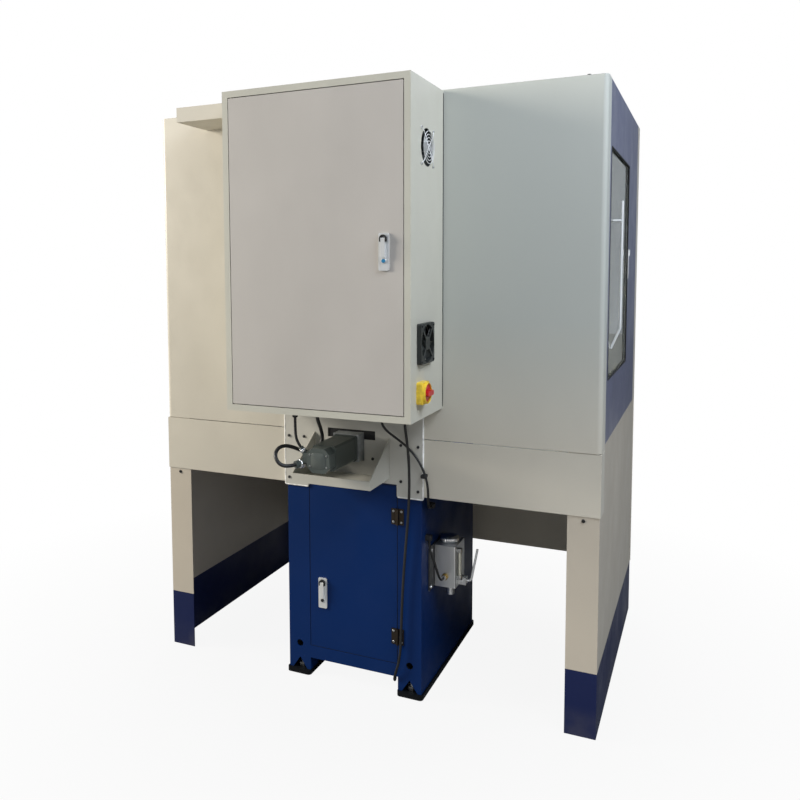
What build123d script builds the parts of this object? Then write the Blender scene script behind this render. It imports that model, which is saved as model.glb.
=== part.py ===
from build123d import *
import math
import os

# Compact milling machine in a sheet enclosure, in millimetres.
# +X is the operator's right, +Y the rear, +Z up.
# The origin is on the floor at the middle of the stand's four anchor holes.

# Overall sizes
enclosure_width = 1580.0
enclosure_depth = 1050.0
enclosure_height = 2000.0
enclosure_offset = -24.0
sheet = 2.5
cut_over = 5.0
running_gap = 0.05
slide_gap = 0.3

# Enclosure
leg_flange = 95.0
skirt_height = 208.0
apron_bottom = 694.0
apron_top = 886.0
apron_lip = 15.0
side_panel_bottom = 905.0
wall_lap = 25.0
wrap_flange = 75.0
panel_corner = 15.0
panel_seam = 2.5
hood_inset = 205.0
hood_reach = 184.0
hood_height = 48.0
hood_drop = 10.0
pan_drop = 50.0
pan_stand_gap = 1.0
pan_upstand = 36.0

# Side windows and the sliding sash
window_rear_margin = 105.0
window_length = 550.0
window_bottom = 1099.0
window_top_margin = 195.0
pane_thickness = 5.0
pane_lap = 18.0
sash_travel = 300.0
track_wall = 3.0
track_web = 4.0
track_depth = 12.0
sash_handle_radius = 4.0
sash_handle_stand_off = 27.0
sash_handle_inset = 139.0
sash_handle_top_drop = 153.0
sash_handle_arm_drop = 62.0
sash_handle_bend_rise = 151.0
sash_handle_foot_rise = 86.0
sash_handle_bend_radius = 30.0

# Front door
doorway_left_margin = 230.0
doorway_control_gap = 70.0
doorway_bottom = 930.0
doorway_top_margin = 170.0
door_lap = 25.0
door_thickness = 20.0
door_stile = 70.0
front_door_travel = 470.0
grip_radius = 8.0
grip_stand_off = 45.0
grip_length = 300.0
grip_inset = 62.0

# Control panel
control_width = 400.0
control_height = 500.0
control_thickness = 40.0
control_right_margin = 160.0
control_top_margin = 350.0
control_corner = 8.0
screen_width = 300.0
screen_height = 200.0
screen_recess = 3.0
screen_drop = 60.0
stop_stem_radius = 8.0
stop_head_radius = 20.0
stop_head_height = 14.0
stop_travel = 6.0
stop_inset_x = 80.0
stop_inset_z = 80.0

# Stand
stand_width = 500.0
stand_depth = 625.0
stand_height = 750.0
stand_wall = 4.0
stand_top = 15.0
post_width = 84.0
post_return = 60.0
rail_bottom = 62.0
stand_opening_bottom = 107.0
stand_opening_top = 724.0
skid_width = 92.0
skid_thickness = 16.0
skid_proud_side = 6.0
skid_proud_end = 10.0
skid_corner = 12.0
notch_width = 56.0
notch_height = 42.0
post_centre_inset = 42.0
lifting_hole_radius = 12.5
lifting_hole_height = 108.0
anchor_hole_radius = 9.0
anchor_inset = 85.0
stud_radius = 8.0
stud_length = 46.0
nut_radius = 13.0
nut_height = 13.0
stud_inset = 26.0

# Stand door and its butt hinges
stand_door_gap = 2.5
stand_door_depth = 18.0
door_skin = 2.5
hinge_height = 55.0
hinge_leaf = 22.0
hinge_leaf_thickness = 2.0
hinge_knuckle_radius = 5.0
hinge_pin_radius = 2.5
hinge_heights = (204.0, 618.0)

# Flush latches
latch_width = 32.0
latch_height = 108.0
latch_thickness = 5.0
latch_corner = 4.0
lever_width = 13.0
lever_length = 54.0
lever_radius = 4.0
lever_pin_radius = 2.0
ear_thickness = 3.0
ear_height = 12.0
lever_pivot_drop = 17.0
button_radius = 5.5
button_proud = 3.5
button_length = 8.0
button_travel = 2.5
button_drop = 80.0
button_room = 1.5
stand_latch_inset = 52.0
stand_latch_height = 309.0
cabinet_latch_inset = 61.0
cabinet_latch_rise = 497.0

# Electrical cabinet
cabinet_offset = -9.0
cabinet_width = 624.0
cabinet_height = 1000.0
cabinet_depth = 300.0
cabinet_bottom = 996.0
cabinet_wall = 2.0
cabinet_frame = 20.0
cabinet_door_gap = 2.5
cabinet_door_depth = 20.0
cabinet_stand_off = 6.0
pad_size = 40.0
pivot_inset = 8.0
pivot_depth = 6.0
pivot_radius = 3.0
pivot_length = 14.0
pivot_lug = 7.0
rack_margin = 40.0
rack_plate = 3.0
rack_stand_off = 15.0
stud_pad = 5.0
drive_width = 70.0
drive_height = 190.0
drive_depth = 130.0
drive_count = 3
drive_pitch = 110.0
drive_drop = 300.0
supply_width = 240.0
supply_height = 160.0
supply_depth = 110.0
duct_width = 40.0
duct_depth = 60.0

# Cabinet fans, all lengths from each fan's own centre on the cabinet's side
fan_side = 120.0
fan_bore_radius = 56.0
fan_frame_depth = 25.0
fan_corner = 6.0
fan_hub_radius = 20.0
fan_blade_reach = 53.5
fan_blade_chord = 26.0
fan_blade_thickness = 2.0
fan_blade_pitch = 32.0
fan_blade_count = 7
fan_shaft_radius = 3.0
fan_disc_thickness = 3.0
fan_disc_gap = 1.0
fan_strut_width = 7.0
fan_screw_pitch = 105.0
upper_fan_back = 157.0
upper_fan_drop = 194.0
lower_fan_back = 188.0
lower_fan_rise = 227.0
lower_fan_proud = 14.0
lower_rotor_depth = 16.0
upper_rotor_depth = 16.0
guard_wire_radius = 1.3
guard_stand_off = 6.0
guard_ring_pitch = 9.5
guard_ring_count = 5
guard_foot_radius = 4.5
guard_foot_thickness = 1.5
guard_post_radius = 1.9
guard_middle_radius = 5.0

# Main switch
switch_side = 66.0
switch_thickness = 18.0
switch_corner = 8.0
switch_back = 220.0
switch_rise = 82.0
knob_radius = 26.0
knob_thickness = 5.0
knob_grip_width = 15.0
knob_grip_length = 49.0
knob_grip_thickness = 12.0
knob_stem_radius = 5.0
knob_stem_length = 10.0

# Rear plate, tray and axis motor
plate_width = 508.0
plate_bottom = 688.0
plate_top = 980.0
plate_thickness = 6.0
plate_step = 728.0
plate_step_half = 165.0
plate_window_half = 88.0
plate_window_bottom = 870.0
plate_window_top = 901.0
plate_slot_half = 48.0
plate_slot_bottom = 796.0
plate_bolt_radius = 5.0
plate_bolt_head = 4.0
outer_bolt_x = 240.0
outer_bolt_heights = (712.0, 861.0)
inner_bolt_x = 180.0
inner_bolt_heights = (740.0, 862.0)
tray_bolt_x = 79.0
tray_bolt_height = 807.0
tray_half = 140.0
tray_reach = 167.0
tray_bottom = 747.0
tray_lip = 29.0
tray_gusset = 136.0
tray_sheet = 3.0
screw_height = 848.0
nose_half = 46.0
nose_reach = 50.0
motor_half = 40.0
motor_flange_half = 43.0
motor_flange = 10.0
motor_body = 155.0
motor_cap = 43.0
motor_cap_half = 39.0
motor_chamfer = 6.0
motor_cap_chamfer = 18.0
plug_box_width = 18.0
plug_box_back = 205.0
plug_box_length = 46.0
plug_box_bottom = 836.0
plug_box_top = 868.0
power_plug_radius = 12.0
power_plug_ring = 14.0
power_plug_start = (54.0, 530.0, 833.0)
power_plug_end = (78.0, 574.5, 830.0)
signal_plug_radius = 8.0
signal_plug_ring = 9.5
signal_plug_start = (54.0, 551.0, 862.0)
signal_plug_end = (68.0, 555.5, 884.0)
plug_ring_share = 0.3

# Machine casting, slides and head
base_half = 170.0
base_rear = 15.0
base_length = 605.0
base_top = 885.0
base_end_wall = 45.0
channel_half = 60.0
channel_floor = 790.0
rail_width = 20.0
rail_height = 18.0
rail_start = 205.0
rail_length = 410.0
y_rail_x = 110.0
feed_screw_radius = 10.0
saddle_half = 160.0
saddle_start = 320.0
saddle_length = 180.0
saddle_lift = 5.0
saddle_thickness = 70.0
nut_half = 28.0
nut_length = 60.0
x_rail_inset = 26.0
x_screw_radius = 8.0
x_screw_rise = 46.0
x_tunnel_radius = 12.0
table_half = 330.0
table_width = 200.0
table_thickness = 50.0
table_gap = 4.0
table_bracket = 12.0
table_bracket_half = 40.0
table_bracket_rise = 16.0
slot_pitch = 60.0
slot_count = 3
slot_width = 12.0
slot_depth = 20.0
slot_foot_width = 21.0
slot_foot_depth = 8.0
table_motor_half = 28.0
table_motor_length = 110.0
column_half = 110.0
column_depth = 180.0
column_top = 1750.0
column_wall = 20.0
z_rail_x = 75.0
z_rail_bottom = 1090.0
z_rail_top = 1740.0
z_screw_out = 30.0
z_bracket_half = 40.0
z_bracket_reach = 58.0
z_bracket_thickness = 18.0
z_bracket_low = 1098.0
z_motor_length = 150.0
head_half = 105.0
head_gap = 4.0
head_reach = 270.0
head_bottom = 1380.0
head_height = 230.0
head_edge = 12.0
head_wall = 14.0
head_pocket_start = 40.0
head_pocket_rear = 38.0
spindle_out = 205.0
spindle_radius = 30.0
spindle_nose = 70.0
spindle_top_room = 12.0
collet_radius = 6.0
collet_depth = 45.0
spindle_motor_half = 55.0
spindle_motor_length = 190.0
spindle_motor_edge = 10.0

# Hand oil pump on the stand's left side
pump_plate = 4.0
pump_plate_rear = 70.0
pump_plate_length = 170.0
pump_plate_bottom = 350.0
pump_plate_top = 500.0
pump_width = 76.0
pump_rear = 120.0
pump_depth = 110.0
pump_bottom = 352.0
pump_height = 145.0
pump_edge = 4.0
neck_radius = 26.0
neck_height = 14.0
cap_radius = 33.0
cap_height = 20.0
cap_seat_gap = 0.3
outlet_radius = 13.0
outlet_length = 27.0
outlet_back = 20.0
outlet_offset = 15.0
sight_radius = 6.0
sight_stand_off = 8.0
sight_bottom = 385.0
sight_top = 480.0
sight_boss = 12.0
sight_back = 24.0
ear_reach = 24.0
pump_ear_thickness = 6.0
pump_ear_gap = 14.0
pump_ear_back = 20.0
pump_ear_bottom = 352.0
pump_ear_top = 378.0
lever_hub_radius = 9.0
lever_pin = 4.0
lever_rod_radius = 4.0
lever_out = 27.0
lever_lean = 22.0
lever_rise = 115.0
lever_bend = 14.0
fitting_radius = 8.0
fitting_length = 19.5
fitting_inset = 40.0
fitting_rise = 38.0

# Cables: diameters, glands and hand-chosen routes
mains_diameter = 9.0
motor_cable_diameter = 12.0
encoder_diameter = 9.0
signal_diameter = 8.0
hose_diameter = 8.0
gland_length = 20.0
gland_radius = 9.0
entry_half = 9.0
entry_length = 20.0
gland_mouth = cabinet_bottom - gland_length
mains_route = [
    (-210, 362.5, gland_mouth), (-210, 362.5, 938), (-213, 355, 897), (-215, 345, 850), (-216, 339, 795),
    (-215, 334, 735), (-212.5, 331, 668), (-206, 329, 590), (-198.5, 328, 505), (-192, 327, 420),
    (-187, 326, 335), (-184, 326.5, 255), (-182, 327, 180), (-176, 327.5, 124), (-165, 327, 88),
    (-156, 320, 58), (-149, 298, 39), (-138, 262, 27), (-122, 222, 14), (-112, 178, 6.5), (-108.3, 134, 4.5),
    (-108.3, 90, 4.5)]
motor_cable_route = [
    (78, 574.5, 830), (92.4, 601.2, 828.2), (114, 616, 838), (133, 608, 860), (138, 583, 878),
    (128, 555, 884),
    (110, 528, 874), (91, 503, 858), (74, 474, 850), (60, 444, 856), (54, 425, 886), (59, 431, 922),
    (66, 442.5, 953), (66, 442.5, gland_mouth)]
encoder_route = [(68, 555.5, 884), (77.8, 558.65, 899.4), (86, 556, 920), (91, 548.5, 950),
                 (91, 548.5, gland_mouth)]
signal_route = [
    (-148, 412.5, gland_mouth), (-148, 412.5, 950), (-158, 392, 923), (-179, 361, 895), (-203, 335, 867),
    (-229, 326.5, 838), (-252, 327, 806), (-269, 328.5, 771), (-277, 328, 733), (-276, 322, 698),
    (-271, 307, 672), (-265, 287, 655), (-262, 266, 647), (-262, 246, 647)]
hose_route = [
    (-294, 212, 390), (-294, 232, 390), (-292, 250, 404), (-287, 260, 430), (-280, 265, 458),
    (-271, 267, 485), (-262, 267, 510), (-262, 267, 535)]
coil_centre = (-40.0, 90.0)
coil_mean_radius = 50.0
coil_width = 27.0
coil_height = 18.0
coil_edge = 6.0
plug_length = 52.0
plug_width = 34.0
plug_height = 28.0
plug_edge = 6.0
plug_pin_length = 20.0
plug_pin_width = 6.0
plug_pin_thickness = 2.0
plug_pin_pitch = 11.0
plug_offset = 48.3

# Planes that the sub-assemblies share
rear_y = stand_depth / 2
front_y = rear_y - enclosure_depth
left_x = enclosure_offset - enclosure_width / 2
right_x = enclosure_offset + enclosure_width / 2
plate_face = rear_y + plate_thickness
cabinet_face = rear_y + cabinet_depth
cabinet_top = cabinet_bottom + cabinet_height
cabinet_latch_height = cabinet_bottom + cabinet_latch_rise
upper_fan_height = cabinet_top - upper_fan_drop
lower_fan_height = cabinet_bottom + lower_fan_rise
switch_height = cabinet_bottom + switch_rise
pan_height = stand_height - pan_drop
saddle_bottom = base_top + saddle_lift
saddle_top = saddle_bottom + saddle_thickness
x_screw_height = saddle_bottom + x_screw_rise
table_bracket_bottom = saddle_bottom + table_bracket_rise
cabinet_low_x = cabinet_offset - cabinet_width / 2
cabinet_high_x = cabinet_offset + cabinet_width / 2
stand_side_x = -stand_width / 2
window_rear_y = rear_y - window_rear_margin
window_front_y = window_rear_y - window_length
window_top = enclosure_height - window_top_margin
turns = {"X": Rot(0, 90, 0), "Y": Rot(-90, 0, 0), "Z": Rot(0, 0, 0)}


def block(x, y, z):
    """Box between the two values given on each axis."""
    size = [abs(b - a) for a, b in (x, y, z)]
    corner = [min(pair) for pair in (x, y, z)]
    return Pos(*corner) * Box(*size, align=(Align.MIN, Align.MIN, Align.MIN))


def rod(axis, radius, centre, ends):
    """Round bar along an axis between two values, about the other two coordinates."""
    low, high = min(ends), max(ends)
    start = {"X": (low, *centre), "Y": (centre[0], low, centre[1]), "Z": (*centre, low)}[axis]
    return Pos(*start) * turns[axis] * Cylinder(radius, high - low,
                                                align=(Align.CENTER, Align.CENTER, Align.MIN))


def prism(axis, points, ends):
    """Solid of a straight-sided outline carried along an axis between two values."""
    low, high = min(ends), max(ends)
    plane = {"X": Plane.YZ.offset(low), "Y": Plane.XZ.offset(-high), "Z": Plane.XY.offset(low)}[axis]
    return extrude(plane * make_face(Polyline(*points, close=True)), amount=high - low)


def bar_between(start, end, radius):
    """Round bar from one point to another."""
    direction = Vector(*end) - Vector(*start)
    plane = Plane(origin=start, z_dir=direction)
    return plane * Cylinder(radius, direction.length, align=(Align.CENTER, Align.CENTER, Align.MIN))


def rounded(shape, axis, radius):
    """The shape with its edges along an axis rounded."""
    return fillet(shape.edges().filter_by(axis), radius)


def about(centre, half):
    """Low and high values a half width each side of a centre."""
    return (centre - half, centre + half)


def swept_tube(path, radius):
    """Round bar swept along a path."""
    return sweep(Plane(origin=path @ 0, z_dir=path % 0) * Circle(radius), path=path)


# Enclosure sheets

def side_channel(side, bottom, top):
    """Side wall with a leg flange at its rear and front, tucked one sheet inside the outer panels."""
    outer = enclosure_offset + side * (enclosure_width / 2 - sheet)
    flange_x = (outer, outer - side * leg_flange)
    wall = block((outer, outer - side * sheet), (front_y + sheet, rear_y - sheet), (bottom, top))
    rear = block(flange_x, (rear_y - 2 * sheet, rear_y - sheet), (bottom, top))
    front = block(flange_x, (front_y + sheet, front_y + 2 * sheet), (bottom, top))
    return wall + rear + front


def lower_side_wall(side):
    """Lower side wall, cut away above the apron to clear the bent corner of the rear panel."""
    top = side_panel_bottom + wall_lap
    outer = enclosure_offset + side * enclosure_width / 2
    corner = block(about(outer, panel_corner), about(rear_y, panel_corner), (apron_top, top + cut_over))
    return side_channel(side, skirt_height, top) - corner


def rear_rounded(shape, radius):
    """The shape with its two upright rear edges rounded."""
    return fillet(shape.edges().filter_by(Axis.Z).group_by(Axis.Y)[-1], radius)


def upper_side_panel(side):
    """Upper side sheet with its window opening."""
    outer = enclosure_offset + side * enclosure_width / 2
    panel = block((outer, outer - side * sheet), (front_y + wrap_flange, rear_y - wrap_flange),
                  (side_panel_bottom, enclosure_height))
    window = block(about(outer, cut_over), (window_front_y, window_rear_y), (window_bottom, window_top))
    return panel - window


def wraps(face_y, inward, bottom, top, sides):
    """Edge flanges that wrap a rear or front sheet onto the sides."""
    flanges = []
    for side in sides:
        outer = enclosure_offset + side * enclosure_width / 2
        flanges.append(block((outer, outer - side * sheet), (face_y, face_y + inward * wrap_flange),
                             (bottom, top)))
    return flanges


def rear_panel():
    """Upper rear sheet bent round its corners onto the sides, notched for the window of the rear plate."""
    z = (apron_top + panel_seam, enclosure_height)
    whole = block((left_x, right_x), (rear_y - wrap_flange, rear_y), z)
    inside = block((left_x + sheet, right_x - sheet), (rear_y - wrap_flange - cut_over, rear_y - sheet),
                   (z[0] - cut_over, z[1] + cut_over))
    notch = block(about(0, plate_window_half + pane_lap), about(rear_y, cut_over),
                  (z[0] - cut_over, plate_window_top + cut_over))
    return rear_rounded(whole, panel_corner) - rear_rounded(inside, panel_corner - sheet) - notch


def apron(side):
    """Lower rear sheet on one side of the rear plate, with a turned-in lower lip between plate and leg."""
    outer = enclosure_offset + side * enclosure_width / 2
    inner = side * (stand_width / 2 + pan_stand_gap)
    leg_edge = outer - side * (sheet + leg_flange)
    panel = block((outer, inner), (rear_y - sheet, rear_y), (apron_bottom, apron_top))
    lip = block((leg_edge, inner), (rear_y - apron_lip, rear_y), (apron_bottom, apron_bottom + sheet))
    return panel + lip + wraps(rear_y, -1, apron_bottom, apron_top, (side,))


def rear_hood():
    """Shallow sheet box that stands out of the rear panel beside the cabinet, open towards the panel."""
    x = (cabinet_high_x, right_x - hood_inset)
    top = enclosure_height - hood_drop
    outer = block(x, (rear_y, rear_y + hood_reach), (top - hood_height, top))
    inner = block((x[0] + sheet, x[1] - sheet), (rear_y - cut_over, rear_y + hood_reach - sheet),
                  (top - hood_height + sheet, top - sheet))
    return outer - inner


def roof():
    """Flat roof sheet between the walls."""
    sheet_block = block((left_x + sheet, right_x - sheet), (front_y + sheet, rear_y - sheet),
                        (enclosure_height - sheet, enclosure_height))
    return rear_rounded(sheet_block, panel_corner - sheet)


def chip_pan():
    """Floor sheet of the work space, cut round the stand, with an upstand along the cut."""
    half = stand_width / 2 + pan_stand_gap
    stand_front = rear_y - stand_depth - pan_stand_gap
    inner_rear = rear_y - 2 * sheet
    pan = block((left_x + 2 * sheet, right_x - 2 * sheet), (front_y + 2 * sheet, inner_rear),
                (pan_height, pan_height + sheet))
    rim = block(about(0, half + sheet), (stand_front - sheet, inner_rear),
                (pan_height, pan_height + pan_upstand))
    hole = block(about(0, half), (stand_front, rear_y),
                 (pan_height - cut_over, pan_height + pan_upstand + cut_over))
    return pan + rim - hole


def doorway():
    """X and Z limits of the front doorway."""
    control_left = right_x - control_right_margin - control_width
    x = (left_x + doorway_left_margin, control_left - doorway_control_gap)
    return x, (doorway_bottom, enclosure_height - doorway_top_margin)


def front_frame():
    """Front sheet down to the skirt's height, with its doorway and wrapped upper edges."""
    x, z = doorway()
    panel = block((left_x, right_x), (front_y, front_y + sheet), (skirt_height, enclosure_height))
    return panel + wraps(front_y, 1, side_panel_bottom, enclosure_height, (-1, 1)) - block(
        x, about(front_y, cut_over), z)


def track_profile(outward_y, inner, top_open, ends, level):
    """Straight grooved track along X for the front door, its groove open upwards or downwards."""
    depth = (outward_y, outward_y + 2 * track_wall + door_thickness + 2 * slide_gap)
    rise = 1 if top_open else -1
    body = block(ends, depth, (level - rise * track_web, level + rise * track_depth))
    groove = block((ends[0] - cut_over, ends[1] + cut_over),
                   (inner - slide_gap, inner + door_thickness + slide_gap),
                   (level, level + rise * (track_depth + cut_over)))
    return body - groove


def front_door_parts():
    """Sliding front door with its handle, its pane and its two tracks."""
    x, z = doorway()
    x = (x[0] - door_lap, x[1] + door_lap)
    z = (z[0] - door_lap, z[1] + door_lap)
    outer = front_y + sheet + track_wall + slide_gap
    y = (outer, outer + door_thickness)
    pane_x = (x[0] + door_stile, x[1] - door_stile)
    pane_z = (z[0] + door_stile, z[1] - door_stile)
    frame = block(x, y, z) - block(pane_x, (y[0] - cut_over, y[1] + cut_over), pane_z)
    pane = block(pane_x, about(outer + door_thickness / 2, pane_thickness / 2), pane_z)
    grip_x = x[0] + grip_inset
    grip_y = outer - grip_stand_off
    grip_height = (z[0] + z[1]) / 2
    frame += rod("Z", grip_radius, (grip_x, grip_y), about(grip_height, grip_length / 2))
    for end in (-1, 1):
        post_z = grip_height + end * (grip_length / 2 - grip_radius)
        frame += rod("Y", grip_radius, (grip_x, post_z), (grip_y, outer))
    ends = (x[0], x[1] + front_door_travel)
    low = track_profile(front_y + sheet, outer, True, ends, z[0] - slide_gap)
    high = track_profile(front_y + sheet, outer, False, ends, z[1] + slide_gap)
    return frame, pane, [low, high]


def sash_places():
    """X, Y and Z limits of the sliding side pane at rest."""
    outer = left_x + sheet + track_wall + slide_gap
    return ((outer, outer + pane_thickness), (window_front_y - pane_lap, window_rear_y + pane_lap),
            (window_bottom - pane_lap, window_top + pane_lap))


def sash_tracks():
    """Grooved tracks along Y above and below the sliding side pane."""
    x, y, z = sash_places()
    tracks = []
    for level, rise in ((z[0] - slide_gap, 1), (z[1] + slide_gap, -1)):
        wide = (left_x + sheet, x[1] + slide_gap + track_wall)
        ends = (y[0] - sash_travel, y[1])
        body = block(wide, ends, (level - rise * track_web, level + rise * track_depth))
        groove = block((x[0] - slide_gap, x[1] + slide_gap), (ends[0] - cut_over, ends[1] + cut_over),
                       (level, level + rise * (track_depth + cut_over)))
        tracks.append(body - groove)
    return tracks


def sash_handle():
    """Bent rod on the sliding pane: an upright with one arm near its top and a bent foot."""
    x, y, z = sash_places()
    bar_x = x[0] - sash_handle_stand_off
    bar_y = y[1] - sash_handle_inset
    bar_top = window_top - sash_handle_top_drop
    path = Plane.XZ.offset(-bar_y) * FilletPolyline(
        (bar_x, bar_top), (bar_x, window_bottom + sash_handle_bend_rise),
        (x[0], window_bottom + sash_handle_foot_rise), radius=sash_handle_bend_radius)
    upright = swept_tube(path, sash_handle_radius)
    arm = rod("X", sash_handle_radius, (bar_y, bar_top - sash_handle_arm_drop), (bar_x, x[0]))
    inside = block(x, about(bar_y, sash_handle_stand_off), z)
    return upright + arm - inside


def right_pane():
    """Fixed pane behind the window on the operator's right."""
    outer = right_x - sheet
    return block((outer, outer - pane_thickness), (window_front_y - pane_lap, window_rear_y + pane_lap),
                 (window_bottom - pane_lap, window_top + pane_lap))


def control_parts():
    """Control panel box on the front wall and its stop button."""
    x = (right_x - control_right_margin - control_width, right_x - control_right_margin)
    top = enclosure_height - control_top_margin
    z = (top - control_height, top)
    face = front_y - control_thickness
    box = rounded(block(x, (face, front_y), z), Axis.Y, control_corner)
    screen_z = z[1] - screen_drop
    box -= block(about((x[0] + x[1]) / 2, screen_width / 2), about(face, screen_recess),
                 (screen_z - screen_height, screen_z))
    centre = (x[1] - stop_inset_x, z[0] + stop_inset_z)
    box -= rod("Y", stop_stem_radius + running_gap, centre, (face - cut_over, front_y - sheet))
    inner_end = front_y - sheet - stop_travel - slide_gap
    head_y = face - stop_travel - slide_gap
    stop = rod("Y", stop_stem_radius, centre, (head_y, inner_end))
    head = rod("Y", stop_head_radius, centre, (head_y - stop_head_height, head_y))
    rim = head.edges().filter_by(GeomType.CIRCLE).sort_by(Axis.Y)[0]
    return box, stop + fillet(rim, stop_head_height / 3)


# Stand

def stand_frame():
    """Welded sheet stand: box with corner posts, a door opening at the rear, foot skids and lifting holes."""
    half = stand_width / 2
    y = (-stand_depth / 2, stand_depth / 2)
    inner_x = half - post_width
    frame = block((-half, half), y, (skid_thickness, stand_height))
    frame -= block(about(0, half - stand_wall), (y[0] + stand_wall, y[1] - stand_wall),
                   (skid_thickness - cut_over, stand_height - stand_top))
    for side in (-1, 1):
        for end in (-1, 1):
            jamb_x = (side * inner_x, side * (inner_x + stand_wall))
            jamb_y = (end * (stand_depth / 2 - post_return), end * stand_depth / 2)
            frame += block(jamb_x, jamb_y, (skid_thickness, stand_height - stand_top))
    through = (y[0] - cut_over, y[1] + cut_over)
    frame -= block(about(0, inner_x), through, (skid_thickness - cut_over, rail_bottom))
    frame -= block(about(0, inner_x), about(y[1], stand_wall + cut_over),
                   (stand_opening_bottom, stand_opening_top))
    for side in (-1, 1):
        post_x = side * (half - post_centre_inset)
        triangle = [(post_x - notch_width / 2, skid_thickness), (post_x + notch_width / 2, skid_thickness),
                    (post_x, skid_thickness + notch_height)]
        frame -= prism("Y", triangle, through)
        frame -= rod("Y", lifting_hole_radius, (post_x, lifting_hole_height), through)
        outer = side * (half + skid_proud_side)
        skid = block((outer, outer - side * skid_width), (y[0] - skid_proud_end, y[1] + skid_proud_end),
                     (0, skid_thickness))
        frame += rounded(skid, Axis.Z, skid_corner)
        for end in (-1, 1):
            hole = (post_x, end * (stand_depth / 2 - anchor_inset))
            frame -= rod("Z", anchor_hole_radius, hole, (-cut_over, skid_thickness + cut_over))
    return frame


def levelling_studs():
    """Levelling studs with their nuts, standing on the skids behind the post notches."""
    studs = []
    for side in (-1, 1):
        for end in (-1, 1):
            centre = (side * (stand_width / 2 - post_centre_inset), end * (stand_depth / 2 - stud_inset))
            nut = extrude(Plane.XY.offset(skid_thickness) * Pos(*centre) * RegularPolygon(nut_radius, 6),
                          nut_height)
            studs.append(nut + rod("Z", stud_radius, centre, (skid_thickness, skid_thickness + stud_length)))
    return studs


def pan_door(x, z, face, depth, skin):
    """Folded door: a skin with its four edges turned inwards."""
    outer = block(x, (face - depth, face), z)
    inner = block((x[0] + skin, x[1] - skin), (face - depth - cut_over, face - skin),
                  (z[0] + skin, z[1] - skin))
    return outer - inner


def stand_opening():
    """X and Z limits of the stand's door opening."""
    return about(0, stand_width / 2 - post_width), (stand_opening_bottom, stand_opening_top)


def button_hole(x, z, face):
    """Clearance hole in a door skin behind a latch button."""
    return rod("Y", button_radius + button_room, (x, z), (face - cut_over, face + cut_over))


def stand_door():
    """Door of the stand, hinged on its left edge."""
    x, z = stand_opening()
    door_x = (x[0] + stand_door_gap, x[1] - stand_door_gap)
    door_z = (z[0] + stand_door_gap, z[1] - stand_door_gap)
    door = pan_door(door_x, door_z, rear_y, stand_door_depth, door_skin)
    latch_x, latch_z = stand_latch_place()
    return door - button_hole(latch_x, latch_z + latch_height / 2 - button_drop, rear_y)


def stand_latch_place():
    """Middle of the stand door's latch."""
    x, z = stand_opening()
    return x[1] - stand_latch_inset, stand_latch_height


def hinge_sets():
    """Fixed leaves with their pins, and moving leaves, of the stand door's two hinges."""
    x, z = stand_opening()
    pin = (x[0], rear_y + hinge_knuckle_radius)
    third = hinge_height / 3
    leaf_y = (rear_y, rear_y + hinge_leaf_thickness)
    reach = hinge_knuckle_radius + slide_gap
    fixed, moving = [], []
    for middle in hinge_heights:
        z_all = about(middle, hinge_height / 2)
        z_mid = about(middle, third / 2 - slide_gap)
        barrel = rod("Z", hinge_knuckle_radius, pin, z_all)
        gap_mid = block(about(pin[0], reach), about(pin[1], reach), about(middle, third / 2))
        still = block((pin[0] - hinge_leaf, pin[0]), leaf_y, z_all) + barrel - gap_mid
        fixed.append(still + rod("Z", hinge_pin_radius, pin, z_all))
        leaf = block((pin[0] + reach, pin[0] + hinge_leaf), leaf_y, z_all)
        tongue = block((pin[0], pin[0] + hinge_leaf), leaf_y, z_mid)
        swing = leaf + tongue + rod("Z", hinge_knuckle_radius, pin, z_mid)
        moving.append(swing - rod("Z", hinge_pin_radius + running_gap, pin, z_all))
    return fixed, moving


def latch(x, z, face):
    """Flush latch on a rear-facing door: plate with ears, swing-out lever and push button."""
    plate_y = face + latch_thickness
    top = z + latch_height / 2
    plate = rounded(block(about(x, latch_width / 2), (face, plate_y), about(z, latch_height / 2)), Axis.Y,
                    latch_corner)
    pivot = (plate_y + slide_gap + lever_radius, top - lever_pivot_drop)
    ear_inner = lever_width / 2 + slide_gap
    for side in (-1, 1):
        plate += block((x + side * ear_inner, x + side * (ear_inner + ear_thickness)),
                       (plate_y, pivot[0] + lever_radius), about(pivot[1], ear_height / 2))
    ear_span = ear_inner + ear_thickness
    plate -= rod("X", lever_pin_radius + running_gap, pivot, about(x, ear_span + cut_over))
    lever = block(about(x, lever_width / 2), about(pivot[0], lever_radius),
                  (pivot[1] - lever_length, pivot[1]))
    lever += rod("X", lever_radius, pivot, about(x, lever_width / 2))
    lever += rod("X", lever_pin_radius, pivot, about(x, ear_span))
    centre = (x, top - button_drop)
    plate -= rod("Y", button_radius + running_gap, centre, (face - cut_over, plate_y + cut_over))
    tip = plate_y + button_proud
    button = rod("Y", button_radius, centre, (tip - button_length, tip))
    return plate, lever, button


# Electrical cabinet

def cabinet_opening():
    """X and Z limits of the cabinet's door opening."""
    return ((cabinet_low_x + cabinet_frame, cabinet_high_x - cabinet_frame),
            (cabinet_bottom + cabinet_frame, cabinet_top - cabinet_frame))


def cabinet_pivot():
    """X and Y of the cabinet door's hinge pins, on its right edge."""
    x, z = cabinet_opening()
    return x[1] - cabinet_door_gap - pivot_inset, cabinet_face - pivot_depth


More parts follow.
